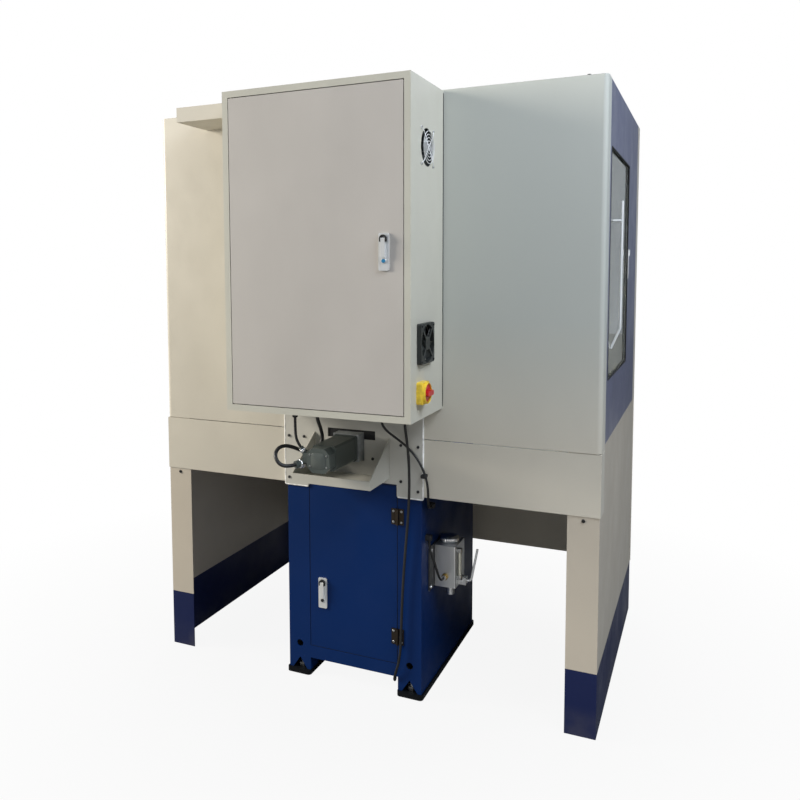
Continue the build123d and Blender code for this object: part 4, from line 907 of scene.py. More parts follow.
@dataclass
class Cabinet(Assembly):
    """Electrical cabinet: rear gasket, black so it also paints the stand-off gap's shade, fan guard, fan
    screws, switch collar and drive fronts.
    """

    finishes = {"cabinet_shell": Finishes.SHELL, "cabinet_door": Finishes.CABINET,
                "drive_rack": Finishes.DRIVE, "fan_housings": Finishes.FAN, "upper_fan_rotor": Finishes.FAN,
                "lower_fan_rotor": Finishes.FAN, "switch_base": Finishes.YELLOW, "switch_knob": Finishes.RED}
    upper_fan_back: float = 0.157
    upper_fan_drop: float = 0.194
    lower_fan_back: float = 0.188
    lower_fan_rise: float = 0.227
    lower_fan_proud: float = 0.014
    screw_half: float = 0.0525
    upper_screw: Pair = (0.0040, 0.0034)
    lower_screw: Pair = (0.0036, 0.0022)
    guard_wire: float = 0.0010
    guard_level: float = 0.006
    guard_pitch: float = 0.0095
    guard_count: int = 5
    spoke_share: float = 1.35
    spoke_bend: Pair = (0.80, 0.16)
    spoke_foot: float = 0.0032
    eye_level: float = 0.0018
    eye_radius: float = 0.0036
    stand_off: float = 0.006
    gasket_inset: float = 0.0036
    gasket_width: float = 0.009
    gasket_corner: float = 0.006
    gasket_play: float = 0.0002
    collar_profile = ((0.0285, -SINK), (0.0285, 0.0080), (0.0300, 0.0095), (0.0318, 0.0080), (0.0325, 0.0),
                      (0.0325, -SINK), (0.0285, -SINK))
    drive_pitch: float = 0.110
    drive_count: int = 3
    front_height: float = 1.611
    front_size: Triple = (0.060, 0.080, 0.003)
    strip_height: float = 1.500
    strip_size: Triple = (0.054, 0.030, 0.004)

    def guard(self, place: Place) -> list[Shell]:
        """Wire guard: rings with a round section, and straight spokes bent down to screw eyes.

        Args:
            place: Middle of the fan on the cabinet's side.

        Returns:
            Shells of all its wires.
        """
        out = place.facing.value[2]
        angle = around(8)
        wire = self.guard_wire * np.stack([np.cos(angle), np.sin(angle)], axis=-1)
        angle = around(64)
        flat = np.stack([np.cos(angle), np.sin(angle), np.zeros(64)], axis=-1)
        level = np.array([0, 0, self.guard_level])
        shells = [carried(wire, place.at(level + flat * self.guard_pitch * (index + 1)), out, True)
                  for index in range(self.guard_count)]
        along = np.linspace(-1, 1, 41)
        drop = np.clip((np.abs(along) - self.spoke_bend[0]) / self.spoke_bend[1], 0, 1)
        fall = (self.guard_level - self.spoke_foot) * drop ** 2 * (3 - 2 * drop)
        rise = self.guard_level - self.guard_wire - fall
        reach = self.screw_half * math.sqrt(2) * along
        for turn in (math.pi / 4, -math.pi / 4):
            path = place.at(np.stack([reach * math.cos(turn), reach * math.sin(turn), rise], axis=-1))
            normal = np.cross(out, path[-1] - path[0])
            shells.append(carried(self.spoke_share * wire, path, normal / np.linalg.norm(normal), False))
        for right in (-self.screw_half, self.screw_half):
            for up in (-self.screw_half, self.screw_half):
                eye = place.at(np.array([right, up, self.eye_level]) + self.eye_radius * flat[::3])
                shells.append(carried(wire, eye, out, True))
        return shells

    def gasket(self, shell: Extent) -> Shell:
        """Rubber gasket behind the cabinet, whose black also paints the shade in the stand-off gap: a flat
        section carried round its rear edge.

        Args:
            shell: Extent of the cabinet's shell.

        Returns:
            Points and quads.
        """
        middle = (shell.middle[0], PLAN.rear + self.stand_off / 2, shell.middle[2])
        width, height = shell.size[[0, 2]] - 2 * self.gasket_inset
        section = rounded_outline(self.gasket_width, self.stand_off - self.gasket_play, 0.001, per_corner=3)
        return hoop(section, middle, width, height, self.gasket_corner, axis=1)

    def build(self) -> None:
        """Make the gasket that also paints the gap's shade, the guard, the screws, the switch collar and the
        drive fronts.
        """
        shell = Extent.of("cabinet_shell")
        side = shell.low[0]
        upper = Place((side, PLAN.rear + self.upper_fan_back, shell.high[2] - self.upper_fan_drop),
                      Facing.LEFT)
        lower = Place((side - self.lower_fan_proud, PLAN.rear + self.lower_fan_back,
                       shell.low[2] + self.lower_fan_rise), Facing.LEFT)
        # Painted shade: the black gasket fills the stand-off gap behind the cabinet, where there is shade.
        piece("cabinet_gasket_gap_shade", [self.gasket(shell)], Finishes.RUBBER)
        piece("guard_wires", self.guard(upper), Finishes.ROD_PAINTED_SHEEN, replaces=["fan_guard"])
        halves = (self.screw_half, self.screw_half)
        heads = corner_screws(upper, halves, *self.upper_screw)
        heads += corner_screws(lower, halves, *self.lower_screw)
        piece("fan_screws", heads, Finishes.BLACK)
        base = Extent.of("switch_base")
        switch = Place((base.low[0], base.middle[1], base.middle[2]), Facing.LEFT)
        piece("switch_collar", [turned(switch, self.collar_profile, 64)], Finishes.YELLOW)
        face = Extent.of("drive_rack").high[1]
        fronts = []
        strips = []
        for index in range(self.drive_count):
            x = shell.middle[0] + (index - 1) * self.drive_pitch
            fronts.append(plain_plate(Place((x, face, self.front_height), Facing.REAR), *self.front_size))
            strips.append(plain_plate(Place((x, face, self.strip_height), Facing.REAR), *self.strip_size))
        piece("drive_fronts", fronts, Finishes.BLACK)
        piece("terminal_strips", strips, Finishes.KEYS)


@dataclass
class RearDrive(Assembly):
    """Rear plate with white beads of painted highlight on its edges and a dark sheet of painted shade in its
    window, the tray and the axis motor with its plugs.
    """

    finishes = {"rear_plate": Finishes.REAR, "motor_tray": Finishes.TRAY, "bolts": Finishes.BLACK,
                "servo_motors": Finishes.MOTOR, "motor_plugs": Finishes.MOTOR}
    step_half: float = 0.165
    step_gap: float = 0.003
    window_half: float = 0.088
    window_low: float = 0.870
    window_high: float = 0.901
    nose_half: float = 0.046
    shade_sheet_proud: float = 0.0005
    shade_sheet_thickness: float = 0.002
    bead_width: float = 0.0065
    bead_depth: float = 0.0068
    bead_corner: float = 0.003
    bead_level: float = 0.0032
    bead_bend: float = 0.004
    clip_place: Pair = (-0.262, 0.768)
    clip_size: Triple = (0.018, 0.012, 0.004)
    clip_reach: float = 0.0205
    clip_edge: float = 0.001
    clip_screw_side: float = 0.004
    clip_screw: Pair = (0.003, 0.002)
    cap_size: Triple = (0.050, 0.050, 0.012)
    cap_steps = ((0, -0.0004), (0, 0.0006), (0.0015, 0.0014))
    cap_screw: Pair = (0.0030, 0.0016)
    cap_screw_halves: Pair = (0.029, 0.018)
    power_plug: tuple[Point, Point] = ((0.054, 0.530, 0.833), (0.078, 0.5745, 0.830))
    power_nut: Triple = (0.40, 0.72, 0.0146)
    signal_plug: tuple[Point, Point] = ((0.054, 0.551, 0.862), (0.068, 0.5555, 0.884))
    signal_nut: Triple = (0.38, 0.74, 0.0100)

    def bead(self, plate: Extent, side: int) -> Shell:
        """White bead, a painted highlight of the plate's bent edge: a rounded section carried down the
        plate's edge and in along its foot.

        The path wanders in and out by the sum of two slow sines of the point's number.

        Args:
            plate: Extent of the rear plate.
            side: -1 or 1, the plate's edge in X.

        Returns:
            Points and quads.
        """
        edge = plate.high[0] + self.bead_width / 3
        low = plate.low[2] - self.bead_width / 4
        bend = self.bead_bend
        turn = np.linspace(0, math.pi / 2, 6)[1:]
        down = np.linspace(plate.high[2], low + bend, 40)
        inward = np.linspace(edge - bend, self.step_half + self.step_gap, 14)[1:]
        x = side * np.concatenate([np.full(len(down), edge), edge - bend + bend * np.cos(turn), inward])
        z = np.concatenate([down, low + bend - bend * np.sin(turn), np.full(len(inward), low)])
        step = np.arange(len(x))
        wander = 0.0003 * np.sin(step * 1.7) + 0.0002 * np.sin(step * 0.61)
        path = np.column_stack([x, PLAN.rear + self.bead_level + wander, z])
        section = rounded_outline(self.bead_width, self.bead_depth, self.bead_corner, per_corner=4)
        return carried(section, path, (0, 1, 0), False)

    def window_shade_sheet(self) -> list[Shell]:
        """Dark sheet inside the plate's window, on both sides of the motor nose and above it: painted shade
        of the dark space behind.

        Returns:
            Shells of the three strips.
        """
        wing = self.window_half - self.nose_half
        across = self.nose_half + wing / 2
        top = Extent.of("y_screw").middle[2] + self.nose_half
        strips = [(-across, self.window_low, wing), (across, self.window_low, wing),
                  (0, top, 2 * self.nose_half)]
        level = PLAN.rear + self.shade_sheet_proud
        return [plain_plate(Place((x, level, (low + self.window_high) / 2), Facing.REAR), width,
                            self.window_high - low, self.shade_sheet_thickness) for x, low, width in strips]

    def knurled_nut(self, plug: tuple[Point, Point], first: float, last: float, radius: float) -> Shell:
        """Knurled nut round a plug: a rippled round section turned about the plug's own axis.

        Args:
            plug: Start and end of the plug.
            first: Where the nut starts, as a share of the plug.
            last: Where the nut ends, as a share of the plug.
            radius: Outer radius.

        Returns:
            Points and quads.
        """
        foot, tip = np.asarray(plug, float)
        start, run = foot + first * (tip - foot), (last - first) * (tip - foot)
        axis = run / np.linalg.norm(run)
        right = np.cross(axis, (0, 0, 1.0))
        right /= np.linalg.norm(right)
        up = np.cross(axis, right)
        angle = around(96)
        along = np.array([0.0, 0.0, 0.04, 0.10, 0.90, 0.96, 1.0, 1.0])
        size = np.array([0.0, 0.9, 0.97, 1.0, 1.0, 0.97, 0.9, 0.0])
        weight = np.array([0, 0, 0, 1, 1, 0, 0, 0], float)
        ring = radius * size[:, None] * (1 + 0.03 * weight[:, None] * np.cos(24 * angle)[None, :])
        outward = np.cos(angle)[None, :, None] * right + np.sin(angle)[None, :, None] * up
        return wrapped((start + run * along[:, None])[:, None, :] + ring[..., None] * outward)

    def build(self) -> None:
        """Make the white beads of painted edge highlight, the dark sheet of painted shade in the window, the
        clip, the motor's trim and the plug nuts.
        """
        plate = Extent.of("rear_plate")
        beads = [self.bead(plate, -1), self.bead(plate, 1)]
        # Painted highlight: white beads along both plate edges stand in for the light caught by the bent
        # edges.
        piece("edge_highlight_beads", beads, Finishes.EDGE_HIGHLIGHT, sharp=60)
        # Painted shade: dark sheets fill the window round the motor nose, where the space behind lies in
        # shade.
        piece("window_shade_sheet", self.window_shade_sheet(), Finishes.RUBBER)
        x, z = self.clip_place
        tip = Place((x + self.clip_screw_side, PLAN.rear + self.clip_reach, z), Facing.REAR)
        clip_steps = [(0, -SINK), (0, self.clip_reach), (self.clip_edge, self.clip_reach + self.clip_edge)]
        clip = raised(Place((x, PLAN.rear, z), Facing.REAR), *self.clip_size, clip_steps)
        piece("cable_clip", [clip, screw_head(tip, *self.clip_screw)], Finishes.BLACK)
        axis = Extent.of("y_screw").middle
        cap = Place((axis[0], Extent.of("servo_motors").high[1], axis[2]), Facing.REAR)
        end_plate = raised(cap, *self.cap_size, self.cap_steps)
        piece("motor_end_plate", [end_plate], Finishes.MOTOR_CAP)
        heads = corner_screws(cap, self.cap_screw_halves, *self.cap_screw)
        piece("motor_screws", heads, Finishes.STEEL)
        nuts = [self.knurled_nut(self.power_plug, *self.power_nut),
                self.knurled_nut(self.signal_plug, *self.signal_nut)]
        piece("plug_nuts", nuts, Finishes.BRIGHT)


@dataclass
class Stand(Assembly):
    """Blue stand with its door: hinge screws, a door seal and lifting sleeves that also paint the shade in
    the gap and the holes, and levelling studs.
    """

    finishes = {"stand_frame": Finishes.STAND, "stand_door": Finishes.STAND,
                "stand_hinge_posts": Finishes.HINGE, "stand_hinge_leaves": Finishes.HINGE}
    half_width: float = 0.250
    post_inset: float = 0.042
    post_wall: float = 0.0042
    hole_height: float = 0.108
    hole_radius: float = 0.0125
    sleeve_wall: float = 0.003
    sleeve_depth: float = 0.060
    hinge_half: float = 0.0275
    hinge_leaf: float = 0.002
    hinge_screw: Pair = (0.0042, 0.0022)
    hinge_screw_place: Pair = (0.014, 0.0185)
    stud_inset: float = 0.026
    stud_radius: float = 0.0086
    stud_length: float = 0.0465
    stud_thread: Pair = (0.0005, 0.002)
    nut_profile = ((0, 0), (0.0145, 0, 1), (0.0148, 0.001, 1), (0.0148, 0.0135, 1), (0.0135, 0.0145, 1),
                   (0, 0.0145))
    skid: float = 0.016
    door_gap: float = 0.0025
    lip_depth: float = 0.0036
    lip_height: float = 0.005
    lip_play: float = 0.0008
    lip_corner: float = 0.0005

    def hinge_screws(self, side: int) -> list[Shell]:
        """Screw heads of both hinges on one side of the pin.

        Args:
            side: -1 for the fixed leaves, 1 for the door's leaves.

        Returns:
            Shells of the heads.
        """
        leaves = Extent.of("stand_hinge_leaves")
        across, half_step = self.hinge_screw_place
        x = Extent.of("stand_door").low[0] - self.door_gap + side * across
        middles = (leaves.low[2] + self.hinge_half, leaves.high[2] - self.hinge_half)
        heights = [middle + step for middle in middles for step in (-half_step, half_step)]
        return [screw_head(Place((x, PLAN.rear + self.hinge_leaf, height), Facing.REAR), *self.hinge_screw)
                for height in heights]

    def door_seal(self) -> Shell:
        """Rubber lip in the gap round the door, dark so it also paints the shade inside the stand: a thin
        section carried round the middle of the gap.

        Returns:
            Points and quads.
        """
        door = Extent.of("stand_door")
        middle = (door.middle[0], door.high[1] - self.lip_depth, door.middle[2])
        width, height = door.size[[0, 2]] + self.door_gap
        width_left = self.door_gap - self.lip_play
        section = rounded_outline(width_left, self.lip_height, self.lip_corner, per_corner=3)
        return hoop(section, middle, width, height, self.lip_corner, axis=1)

    def build(self) -> None:
        """Make the screws, the seal and the sleeves, dark so they also paint the shade in the door gap and
        the lifting holes, and the studs.
        """
        piece("hinge_post_screws", self.hinge_screws(-1), Finishes.STEEL)
        piece("hinge_leaf_screws", self.hinge_screws(1), Finishes.STEEL, Body.STAND_DOOR)
        # Painted shade: the dark lip closes the door gap, where the stand's inside lies in shade.
        piece("stand_door_seal_gap_shade", [self.door_seal()], Finishes.RUBBER)
        post = self.half_width - self.post_inset
        inner, outer = self.hole_radius, self.hole_radius + self.sleeve_wall
        tube = [(inner, -self.post_wall), (outer, -self.post_wall), (outer, -self.sleeve_depth),
                (inner, -self.sleeve_depth), (inner, -self.post_wall)]
        sleeves = []
        studs = []
        for side in (-1, 1):
            for end, facing in ((1, Facing.REAR), (-1, Facing.FRONT)):
                sleeve = Place((side * post, end * PLAN.rear, self.hole_height), facing)
                sleeves.append(turned(sleeve, tube, 40))
                foot = Place((side * post, end * (PLAN.rear - self.stud_inset), self.skid), Facing.UP)
                studs.append(threaded(foot, self.stud_radius, *self.stud_thread, self.stud_length))
                studs.append(turned(foot, self.nut_profile, 48, ridges=6, ridge_share=0.06))
        # Painted shade: black sleeves behind the lifting holes stand in for the shade inside the posts.
        piece("lifting_sleeves_hole_shade", sleeves, Finishes.BLACK)
        piece("levelling_studs", studs, Finishes.STEEL, sharp=50)


@dataclass
class OilPump(Assembly):
    """Hand oil pump: knurled cap, bracket, sight tube and brass fitting."""

    finishes = {"pump_body": Finishes.PUMP, "pump_lever": Finishes.ROD_PAINTED_SHEEN}
    cap_bore: float = 0.0262
    sight: Pair = (-0.338, 0.1685)
    sight_low: float = 0.385
    sight_high: float = 0.480
    sight_radius: float = 0.0068
    nut_profile = ((0, 0), (0.0085, 0, 1), (0.0092, 0.002, 1), (0.0092, 0.012, 1), (0.0085, 0.014, 1),
                   (0, 0.014))
    nut_half: float = 0.007
    fitting: Point = (-0.294, 0.1925, 0.390)
    fitting_profile = ((0, -0.0005), (0.0105, -0.0005, 1), (0.0110, 0.001, 1), (0.0110, 0.008, 1),
                       (0.0100, 0.009, 1), (0.0086, 0.0095), (0.0086, 0.0125), (0.0070, 0.0130),
                       (0.0084, 0.0165), (0.0066, 0.0170), (0.0082, 0.0192), (0, 0.0192))
    bracket_middle: Point = (-0.254, 0.1575, 0.425)
    bracket_size: Pair = (0.1708, 0.1508)
    bracket_skin: float = 0.0004
    bracket_corner: float = 0.003
    bracket_thickness: float = 0.0039
    bolt_inset: float = 0.012
    bolt_head: Pair = (0.0065, 0.005)

    def build(self) -> None:
        """Make the cap, the bracket's skin, the sight tube and the fitting."""
        cap = Extent.of("pump_cap")
        place = Place((cap.middle[0], cap.middle[1], cap.low[2]), Facing.UP)
        radius, height, bore = cap.size[0] / 2, cap.size[2], self.cap_bore
        profile = [(bore, 0.0), (0.96 * radius, 0.0), (radius, 0.0015, 1), (radius, 0.75 * height, 1),
                   (0.96 * radius, 0.85 * height), (0.88 * radius, 0.93 * height), (0.45 * radius, height),
                   (0, height), (0, 0.72 * height), (bore, 0.72 * height), (bore, 0.0)]
        knurled = turned(place, profile, 144, ridges=36, ridge_share=0.024)
        piece("knurled_cap", [knurled], Finishes.BRIGHT, Body.PUMP_CAP, ["pump_cap"])
        bracket = Place(self.bracket_middle, Facing.LEFT)
        skin = self.bracket_skin
        steps = [(0, -self.bracket_thickness), (0, 0.0), (skin, skin)]
        plate = raised(bracket, *self.bracket_size, self.bracket_corner, steps)
        piece("pump_bracket", [plate], Finishes.DRIVE)
        halves = tuple(size / 2 - self.bolt_inset for size in self.bracket_size)
        bolts = corner_screws(bracket, halves, *self.bolt_head, skin)
        piece("bracket_bolts", bolts, Finishes.BRIGHT)
        length = self.sight_high - self.sight_low
        tube = [(0, 0), (self.sight_radius, 0), (self.sight_radius, length), (0, length)]
        sight = turned(Place((*self.sight, self.sight_low), Facing.UP), tube, 28)
        piece("sight_tube", [sight], Finishes.SIGHT)
        places = [Place((*self.sight, level - self.nut_half), Facing.UP)
                  for level in (self.sight_low, self.sight_high)]
        nuts = [turned(end, self.nut_profile, 36, ridges=6, ridge_share=0.06) for end in places]
        piece("sight_nuts", nuts, Finishes.STEEL)
        outlet = Place(self.fitting, Facing.REAR)
        fitting = turned(outlet, self.fitting_profile, 48, ridges=6, ridge_share=0.06)
        piece("hose_fitting", [fitting], Finishes.BRASS)


@dataclass
class Mill(Assembly):
    """Machine inside the enclosure: castings, slides, threaded screws, motors and spindle nose."""

    finishes = {"base_casting": Finishes.CAST, "saddle": Finishes.CAST, "table": Finishes.GROUND,
                "column": Finishes.CAST, "head": Finishes.CAST, "spindle": Finishes.STEEL,
                "spindle_motor": Finishes.MOTOR, "x_motor": Finishes.MOTOR}
    thread_depth: float = 0.0012
    thread_pitch: float = 0.010
    nut_profile = ((0.0062, -0.0005), (0.024, -0.0005), (0.028, 0.002), (0.0318, 0.004, 1),
                   (0.0318, 0.026, 1), (0.0302, 0.028), (0.0302, 0.030), (0.0062, 0.030), (0.0062, -0.0005))
    fin_count: int = 8
    fin_margin: float = 0.025
    fin_proud: float = 0.002
    fin_corner: float = 0.011
    fin_section: Triple = (0.006, 0.008, 0.0015)

    def thread(self, body: Body, facing: Facing, along: int) -> None:
        """Replace a plain feed screw, a node named as its body, by a threaded bar of its extent.

        Args:
            body: Body of the screw.
            facing: Way that the bar points from its low end.
            along: Axis number of the bar.
        """
        extent = Extent.of(body.value)
        start = extent.middle.copy()
        start[along] = extent.low[along]
        bar = threaded(Place(tuple(start), facing), extent.size[(along + 1) % 3] / 2, self.thread_depth,
                       self.thread_pitch, extent.size[along])
        piece(f"{body.value}_thread", [bar], Finishes.GROUND, body, [body.value], 60)

    def build(self) -> None:
        """Make the threaded screws, the spindle's clamping nut and the motor's fins."""
        self.thread(Body.X_SCREW, Facing.RIGHT, 0)
        self.thread(Body.Y_SCREW, Facing.REAR, 1)
        self.thread(Body.Z_SCREW, Facing.UP, 2)
        spindle = Extent.of("spindle")
        nose = Place((spindle.middle[0], spindle.middle[1], spindle.low[2]), Facing.UP)
        nut = turned(nose, self.nut_profile, 96, ridges=12, ridge_share=0.03)
        piece("spindle_nut", [nut], Finishes.STEEL, Body.SPINDLE)
        motor = Extent.of("spindle_motor")
        width, depth = motor.size[:2] + self.fin_proud
        section = rounded_outline(*self.fin_section, per_corner=3)
        heights = np.linspace(motor.low[2] + self.fin_margin, motor.high[2] - self.fin_margin, self.fin_count)
        fins = [hoop(section, (*motor.middle[:2], z), width, depth, self.fin_corner, axis=2)
                for z in heights]
        piece("spindle_motor_fins", fins, Finishes.MOTOR, Body.HEAD)


class Lay(Enum):
    """How a cable lies."""

    HANGING = "hanging"
    LOOSE = "loose"


@dataclass
class Cable:
    """Cable on a smooth spline along its own control points, in metres."""

    name: str
    node: str
    points: Array
    diameter: float
    length: float
    far_end: str = "object"
    stiffness: str = "medium"
    lay: Lay = Lay.HANGING
    also: list[str] = field(default_factory=list)
    with_nodes: list[str] = field(default_factory=list)

    def build(self) -> None:
        curve = bpy.data.curves.new(self.name, "CURVE")
        curve.dimensions = "3D"
        curve.bevel_depth = self.diameter / 2
        curve.bevel_resolution = 4
        curve.resolution_u = 8
        curve.use_fill_caps = True
        spline = curve.splines.new("NURBS")
        spline.points.add(len(self.points) - 1)
        spline.points.foreach_set("co", np.column_stack([self.points, np.ones(len(self.points))]).ravel())
        spline.order_u = 3
        spline.use_endpoint_u = True
        curve.materials.append(Finishes.JACKET.material())
        made = placed(self.name, curve)
        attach(made, Body.FRAME.value)
        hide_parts(self.node, *self.also)
        LOG.info("%s: %d control points", self.name, len(self.points))


@dataclass
class Wiring(Assembly):
    """All cables of the machine, their glands and the mains plug."""

    finishes = {"mains_plug": Finishes.BLACK}
    MAINS = np.array([
        (-210, 362.5, 976), (-210, 362.5, 938), (-213, 355, 897), (-215, 345, 850), (-216, 339, 795),
        (-215, 334, 735), (-212.5, 331, 668), (-206, 329, 590), (-198.5, 328, 505), (-192, 327, 420),
        (-187, 326, 335), (-184, 326.5, 255), (-182, 327, 180), (-176, 327.5, 124), (-165, 327, 88),
        (-156, 320, 58), (-149, 298, 39), (-138, 262, 27), (-122, 222, 14), (-112, 178, 6.5),
        (-108.3, 134, 4.5)]) / 1000
    MOTOR = np.array([
        (78, 574.5, 830), (92.4, 601.2, 828.2), (114, 616, 838), (133, 608, 860), (138, 583, 878),
        (128, 555, 884), (110, 528, 874), (91, 503, 858), (74, 474, 850), (60, 444, 856), (54, 425, 886),
        (59, 431, 922), (66, 442.5, 953), (66, 442.5, 976)]) / 1000
    ENCODER = np.array([(68, 555.5, 884), (77.8, 558.65, 899.4), (86, 556, 920), (91, 548.5, 950),
                        (91, 548.5, 976)]) / 1000
    SIGNAL = np.array([
        (-148, 412.5, 976), (-148, 412.5, 950), (-158, 392, 923), (-179, 361, 895), (-203, 335, 867),
        (-229, 326.5, 838), (-252, 327, 806), (-269, 328.5, 771), (-277, 328, 733), (-276, 322, 698),
        (-271, 307, 672), (-265, 287, 655), (-262, 266, 647), (-262, 246, 647)]) / 1000
    HOSE = np.array([
        (-294, 212, 390), (-294, 232, 390), (-292, 250, 404), (-287, 260, 430), (-280, 265, 458),
        (-271, 267, 485), (-262, 267, 510), (-262, 267, 535)]) / 1000
    TAIL = np.array([(-24, 30.5, 13.8), (-8, 31, 14), (8.5, 31, 14)]) / 1000
    gland_profile = ((0, -SINK), (0.0095, -SINK, 1), (0.0100, 0.001, 1), (0.0100, 0.006, 1),
                     (0.0094, 0.007, 1), (0.0085, 0.0075), (0.0085, 0.0105), (0.0090, 0.011, 1),
                     (0.0090, 0.016, 1), (0.0078, 0.019), (0.0066, 0.020), (0, 0.020))
    coil_middle: Pair = (-0.040, 0.090)
    coil_radius: float = 0.0605
    coil_shrink: float = 0.0185
    cord_radius: float = 0.0045
    stand_side: float = -0.250
    box_size: Pair = (0.020, 0.018)
    box_corner: float = 0.003
    box_steps = ((0, -0.0002), (0, 0.018), (0.002, 0.0205))
    plug_end: Point = (0.0083, 0.031, 0.014)
    relief_radius: float = 0.0085
    relief_taper: float = 0.0032
    relief_groove: float = 0.0009

    def coil(self) -> Array:
        """Turns of the mains cord under the stand: three inwards on the floor, then three outwards on top.

        The radius falls with the angle from the outer to the inner turn and grows back, and the height
        steps up between.

        Returns:
            Control points in metres.
        """
        turns = np.linspace(0.0, 6.25, 76)
        inward = np.clip(turns / 3, 0, 1)
        outward = np.clip((turns - 3.25) / 3, 0, 1)
        radius = self.coil_radius - self.coil_shrink * inward + self.coil_shrink * outward
        height = self.cord_radius * (1 + 2 * np.clip((turns - 2.95) / 0.35, 0, 1))
        angle = math.pi + turns * 2 * math.pi
        x, y = self.coil_middle
        ring = np.stack([x + radius * np.cos(angle), y + radius * np.sin(angle), height], axis=-1)
        return np.concatenate([ring, self.TAIL])

    def glands(self) -> list[Shell]:
        """Gland nuts under the cabinet at each cable's end, and entry boxes on the stand's side.

        Returns:
            Shells of all of them.
        """
        bottom = Extent.of("cabinet_shell").low[2]
        places = [Place((end[0], end[1], bottom), Facing.DOWN)
                  for end in (self.MAINS[0], self.MOTOR[-1], self.ENCODER[-1], self.SIGNAL[0])]
        shells = [turned(end, self.gland_profile, 48, ridges=6, ridge_share=0.05) for end in places]
        long, short = self.box_size
        signal, hose = self.SIGNAL[-1], self.HOSE[-1]
        across = Place((self.stand_side, signal[1] - long / 2, signal[2]), Facing.LEFT)
        upright = Place((self.stand_side, hose[1], hose[2] + long / 2), Facing.LEFT)
        return shells + [raised(across, long, short, self.box_corner, self.box_steps),
                         raised(upright, short, long, self.box_corner, self.box_steps)]

    def relief(self, place: Place, length: float) -> Shell:
        """Tapered strain relief: ribs whose radius falls with the length.

        Args:
            place: Where it starts and the way it points.
            length: Its length.

        Returns:
            Points and quads.
        """
        step = np.arange(13)
        share = step / 12
        radius = self.relief_radius - self.relief_taper * share - self.relief_groove * (step % 2)
        return turned(place, [(0, 0), *zip(radius, length * share), (0, length)], 32)

    def build(self) -> None:
        """Make the cables, the glands and the strain reliefs."""
        mains = np.concatenate([self.MAINS, self.coil()])
        Cable("mains_lead", "mains_cord", mains, 0.009, 3.10, "plug", lay=Lay.LOOSE, also=["mains_coil"],
              with_nodes=["mains_plug"]).build()
        Cable("motor_lead", "motor_cable", self.MOTOR, 0.012, 0.407, stiffness="limp").build()
        Cable("encoder_lead", "encoder_cable", self.ENCODER, 0.009, 0.0977, stiffness="limp").build()
        Cable("signal_lead", "signal_cable", self.SIGNAL, 0.008, 0.442).build()
        Cable("oil_line", "oil_hose", self.HOSE, 0.008, 0.179).build()
        piece("gland_nuts", self.glands(), Finishes.BLACK, replaces=["cable_glands"])
        reliefs = [self.relief(Place(tuple(self.MAINS[0]), Facing.DOWN), 0.032),
                   self.relief(Place(self.plug_end, Facing.LEFT), 0.024)]
        piece("strain_reliefs", reliefs, Finishes.BLACK)


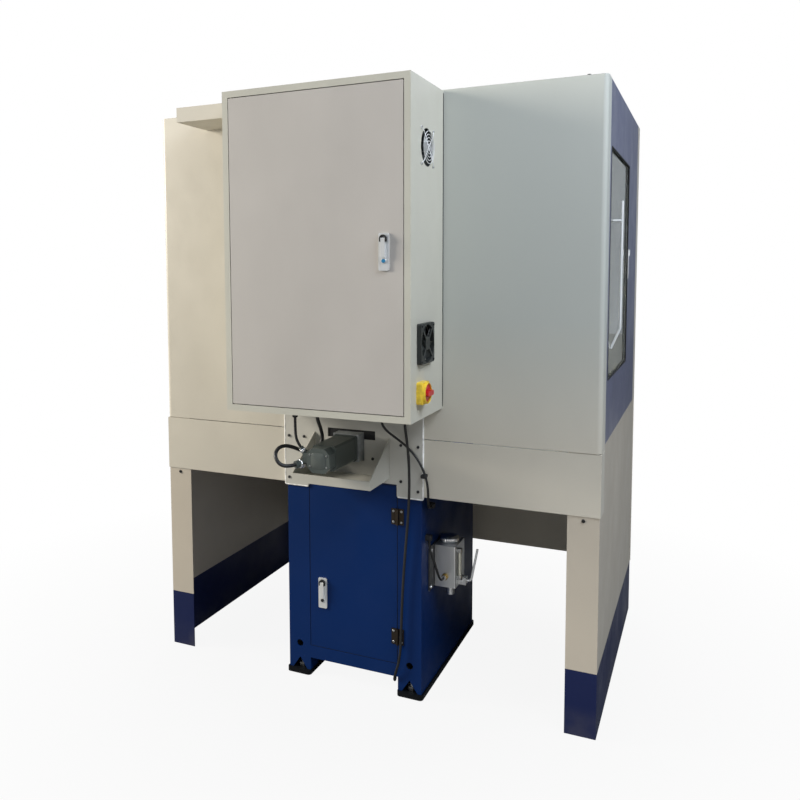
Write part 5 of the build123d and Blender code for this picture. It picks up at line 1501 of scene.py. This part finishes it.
@dataclass
class Studio:
    """Pale studio: camera at the photograph's view, soft lamps, white surround and floor."""

    camera_place: Point = (-1.1009, 2.7583, 1.45035)
    camera_right: Point = (-0.906177, -0.422845, -0.006723)
    camera_up: Point = (0.02714, -0.074014, 0.996888)
    camera_back: Point = (-0.422026, 0.903175, 0.078546)
    sensor: float = 36.0
    lens: float = 35.955
    shift: Pair = (0.075, -0.0875)
    far: float = 100.0
    soft_colour: Paint = (0.87, 0.965, 1.08, 1.0)
    soft_strength: float = 0.30
    white: Paint = (1.0, 1.0, 1.0, 1.0)
    floor_size: float = 30.0
    floor_level: float = -0.0005
    floor_colour: Paint = (0.22, 0.22, 0.215, 1.0)
    shadow_share: float = 0.91
    shadow_reach: Pair = (0.6, 2.2)

    def stood(self, name: str, data: bpy.types.ID, *columns: Sequence[float]) -> bpy.types.Object:
        """Put a lamp or a camera into the scene.

        Args:
            name: Object name.
            data: Lamp or camera.
            columns: Its right, up and back directions, and where it stands.

        Returns:
            The object.
        """
        made = placed(name, data)
        axes = np.eye(4)
        axes[:3, :] = np.column_stack(columns)
        made.matrix_world = Matrix(axes.tolist())
        return made

    def camera(self) -> None:
        """Make the camera."""
        data = bpy.data.cameras.new("photo_camera")
        data.sensor_width = self.sensor
        data.lens = self.lens
        data.shift_x, data.shift_y = self.shift
        data.clip_end = self.far
        bpy.context.scene.camera = self.stood("photo_camera", data, self.camera_right, self.camera_up,
                                              self.camera_back, self.camera_place)

    def lamp(self, name: str, place: Sequence[float], target: Sequence[float], size: float, power: float,
             tint: Colour = (255, 255, 255)) -> None:
        """Make a square soft lamp that looks at a point.

        Args:
            name: Lamp name.
            place: Where it hangs.
            target: Point that it looks at.
            size: Side of the lamp in metres.
            power: Power in watts.
            tint: Colour of its light.
        """
        data = bpy.data.lights.new(name, "AREA")
        data.size = size
        data.energy = power
        data.color = linear(tint)[:3]
        away = np.asarray(place, float) - np.asarray(target, float)
        away /= np.linalg.norm(away)
        right = np.cross((0, 0, 1.0), away)
        right /= np.linalg.norm(right)
        self.stood(name, data, right, np.cross(away, right), away, place)

    def surround(self) -> None:
        """Make the world: soft light on the machine, and white to the camera and through the panes."""
        world = bpy.data.worlds.new("studio_world")
        bpy.context.scene.world = world
        graph = Graph(world)
        graph.tree.nodes.clear()
        soft = graph.node("Background", {"Color": self.soft_colour, "Strength": self.soft_strength})
        white = graph.node("Background", {"Color": self.white, "Strength": 1.0})
        both = graph.mix_shaders(graph.seen_directly(), soft.outputs[0], white.outputs[0])
        graph.node("OutputWorld", {"Surface": both})

    def floor(self) -> None:
        """Make the pale floor: white to the camera, with the machine's soft shadow kept near its feet."""
        corners = np.array([(-1, -1, 0), (1, -1, 0), (1, 1, 0), (-1, 1, 0)]) * self.floor_size / 2
        mesh = bpy.data.meshes.new("studio_floor")
        mesh.from_pydata((corners + (0, 0, self.floor_level)).tolist(), [], [(0, 1, 2, 3)])
        material = bpy.data.materials.new("floor_white")
        graph = Graph(material)
        graph.feed(graph.shader, {"Base Color": self.floor_colour, "Roughness": 0.9,
                                  "Specular IOR Level": 0.1})
        distance = graph.node("VectorMath", {0: graph.place()}, operation="LENGTH").outputs["Value"]
        share = graph.level(distance, self.shadow_share, 1.0, *self.shadow_reach)
        seen = graph.maths("MULTIPLY", graph.seen_directly(), share)
        white = graph.node("Emission", {"Color": self.white})
        both = graph.mix_shaders(seen, graph.shader.outputs[0], white.outputs[0])
        graph.feed(graph.tree.nodes["Material Output"], {"Surface": both})
        mesh.materials.append(material)
        placed("studio_floor", mesh)

    def build(self) -> None:
        """Make the whole studio."""
        bpy.context.scene.view_settings.view_transform = "Standard"
        self.camera()
        self.surround()
        self.floor()
        self.lamp("key_lamp", (5.2, 2.3, 2.9), (0.2, 0.3, 1.1), 2.0, 476.0, (255, 248, 236))
        self.lamp("fill_lamp", (-2.1, 1.2, 3.3), (-0.5, 0.2, 1.1), 1.4, 84.0, (232, 239, 249))
        self.lamp("low_lamp", (-0.75, 1.7, 0.30), (-0.40, 0.3, 0.50), 0.7, 2.8, (255, 250, 244))
        self.lamp("front_lamp", (0.6, -4.4, 3.4), (0.0, -0.4, 1.0), 3.0, 240.0)


def main() -> None:
    """Build the studio and every sub-assembly in order, and note the sizes."""
    logging.basicConfig(level=logging.INFO, format="%(name)s: %(message)s")
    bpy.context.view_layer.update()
    Studio().build()
    latches = [Latch("stand", Body.STAND_DOOR, Finishes.BLACK),
               Latch("cabinet", Body.CABINET_DOOR, Finishes.BLUE)]
    for assembly in (Wiring(), Enclosure(), FrontSide(), Cabinet(), RearDrive(), Stand(), *latches, OilPump(),
                     Mill()):
        assembly.dress()
        assembly.build()
        LOG.info("%s done", type(assembly).__name__)


if __name__ == "__main__":
    main()
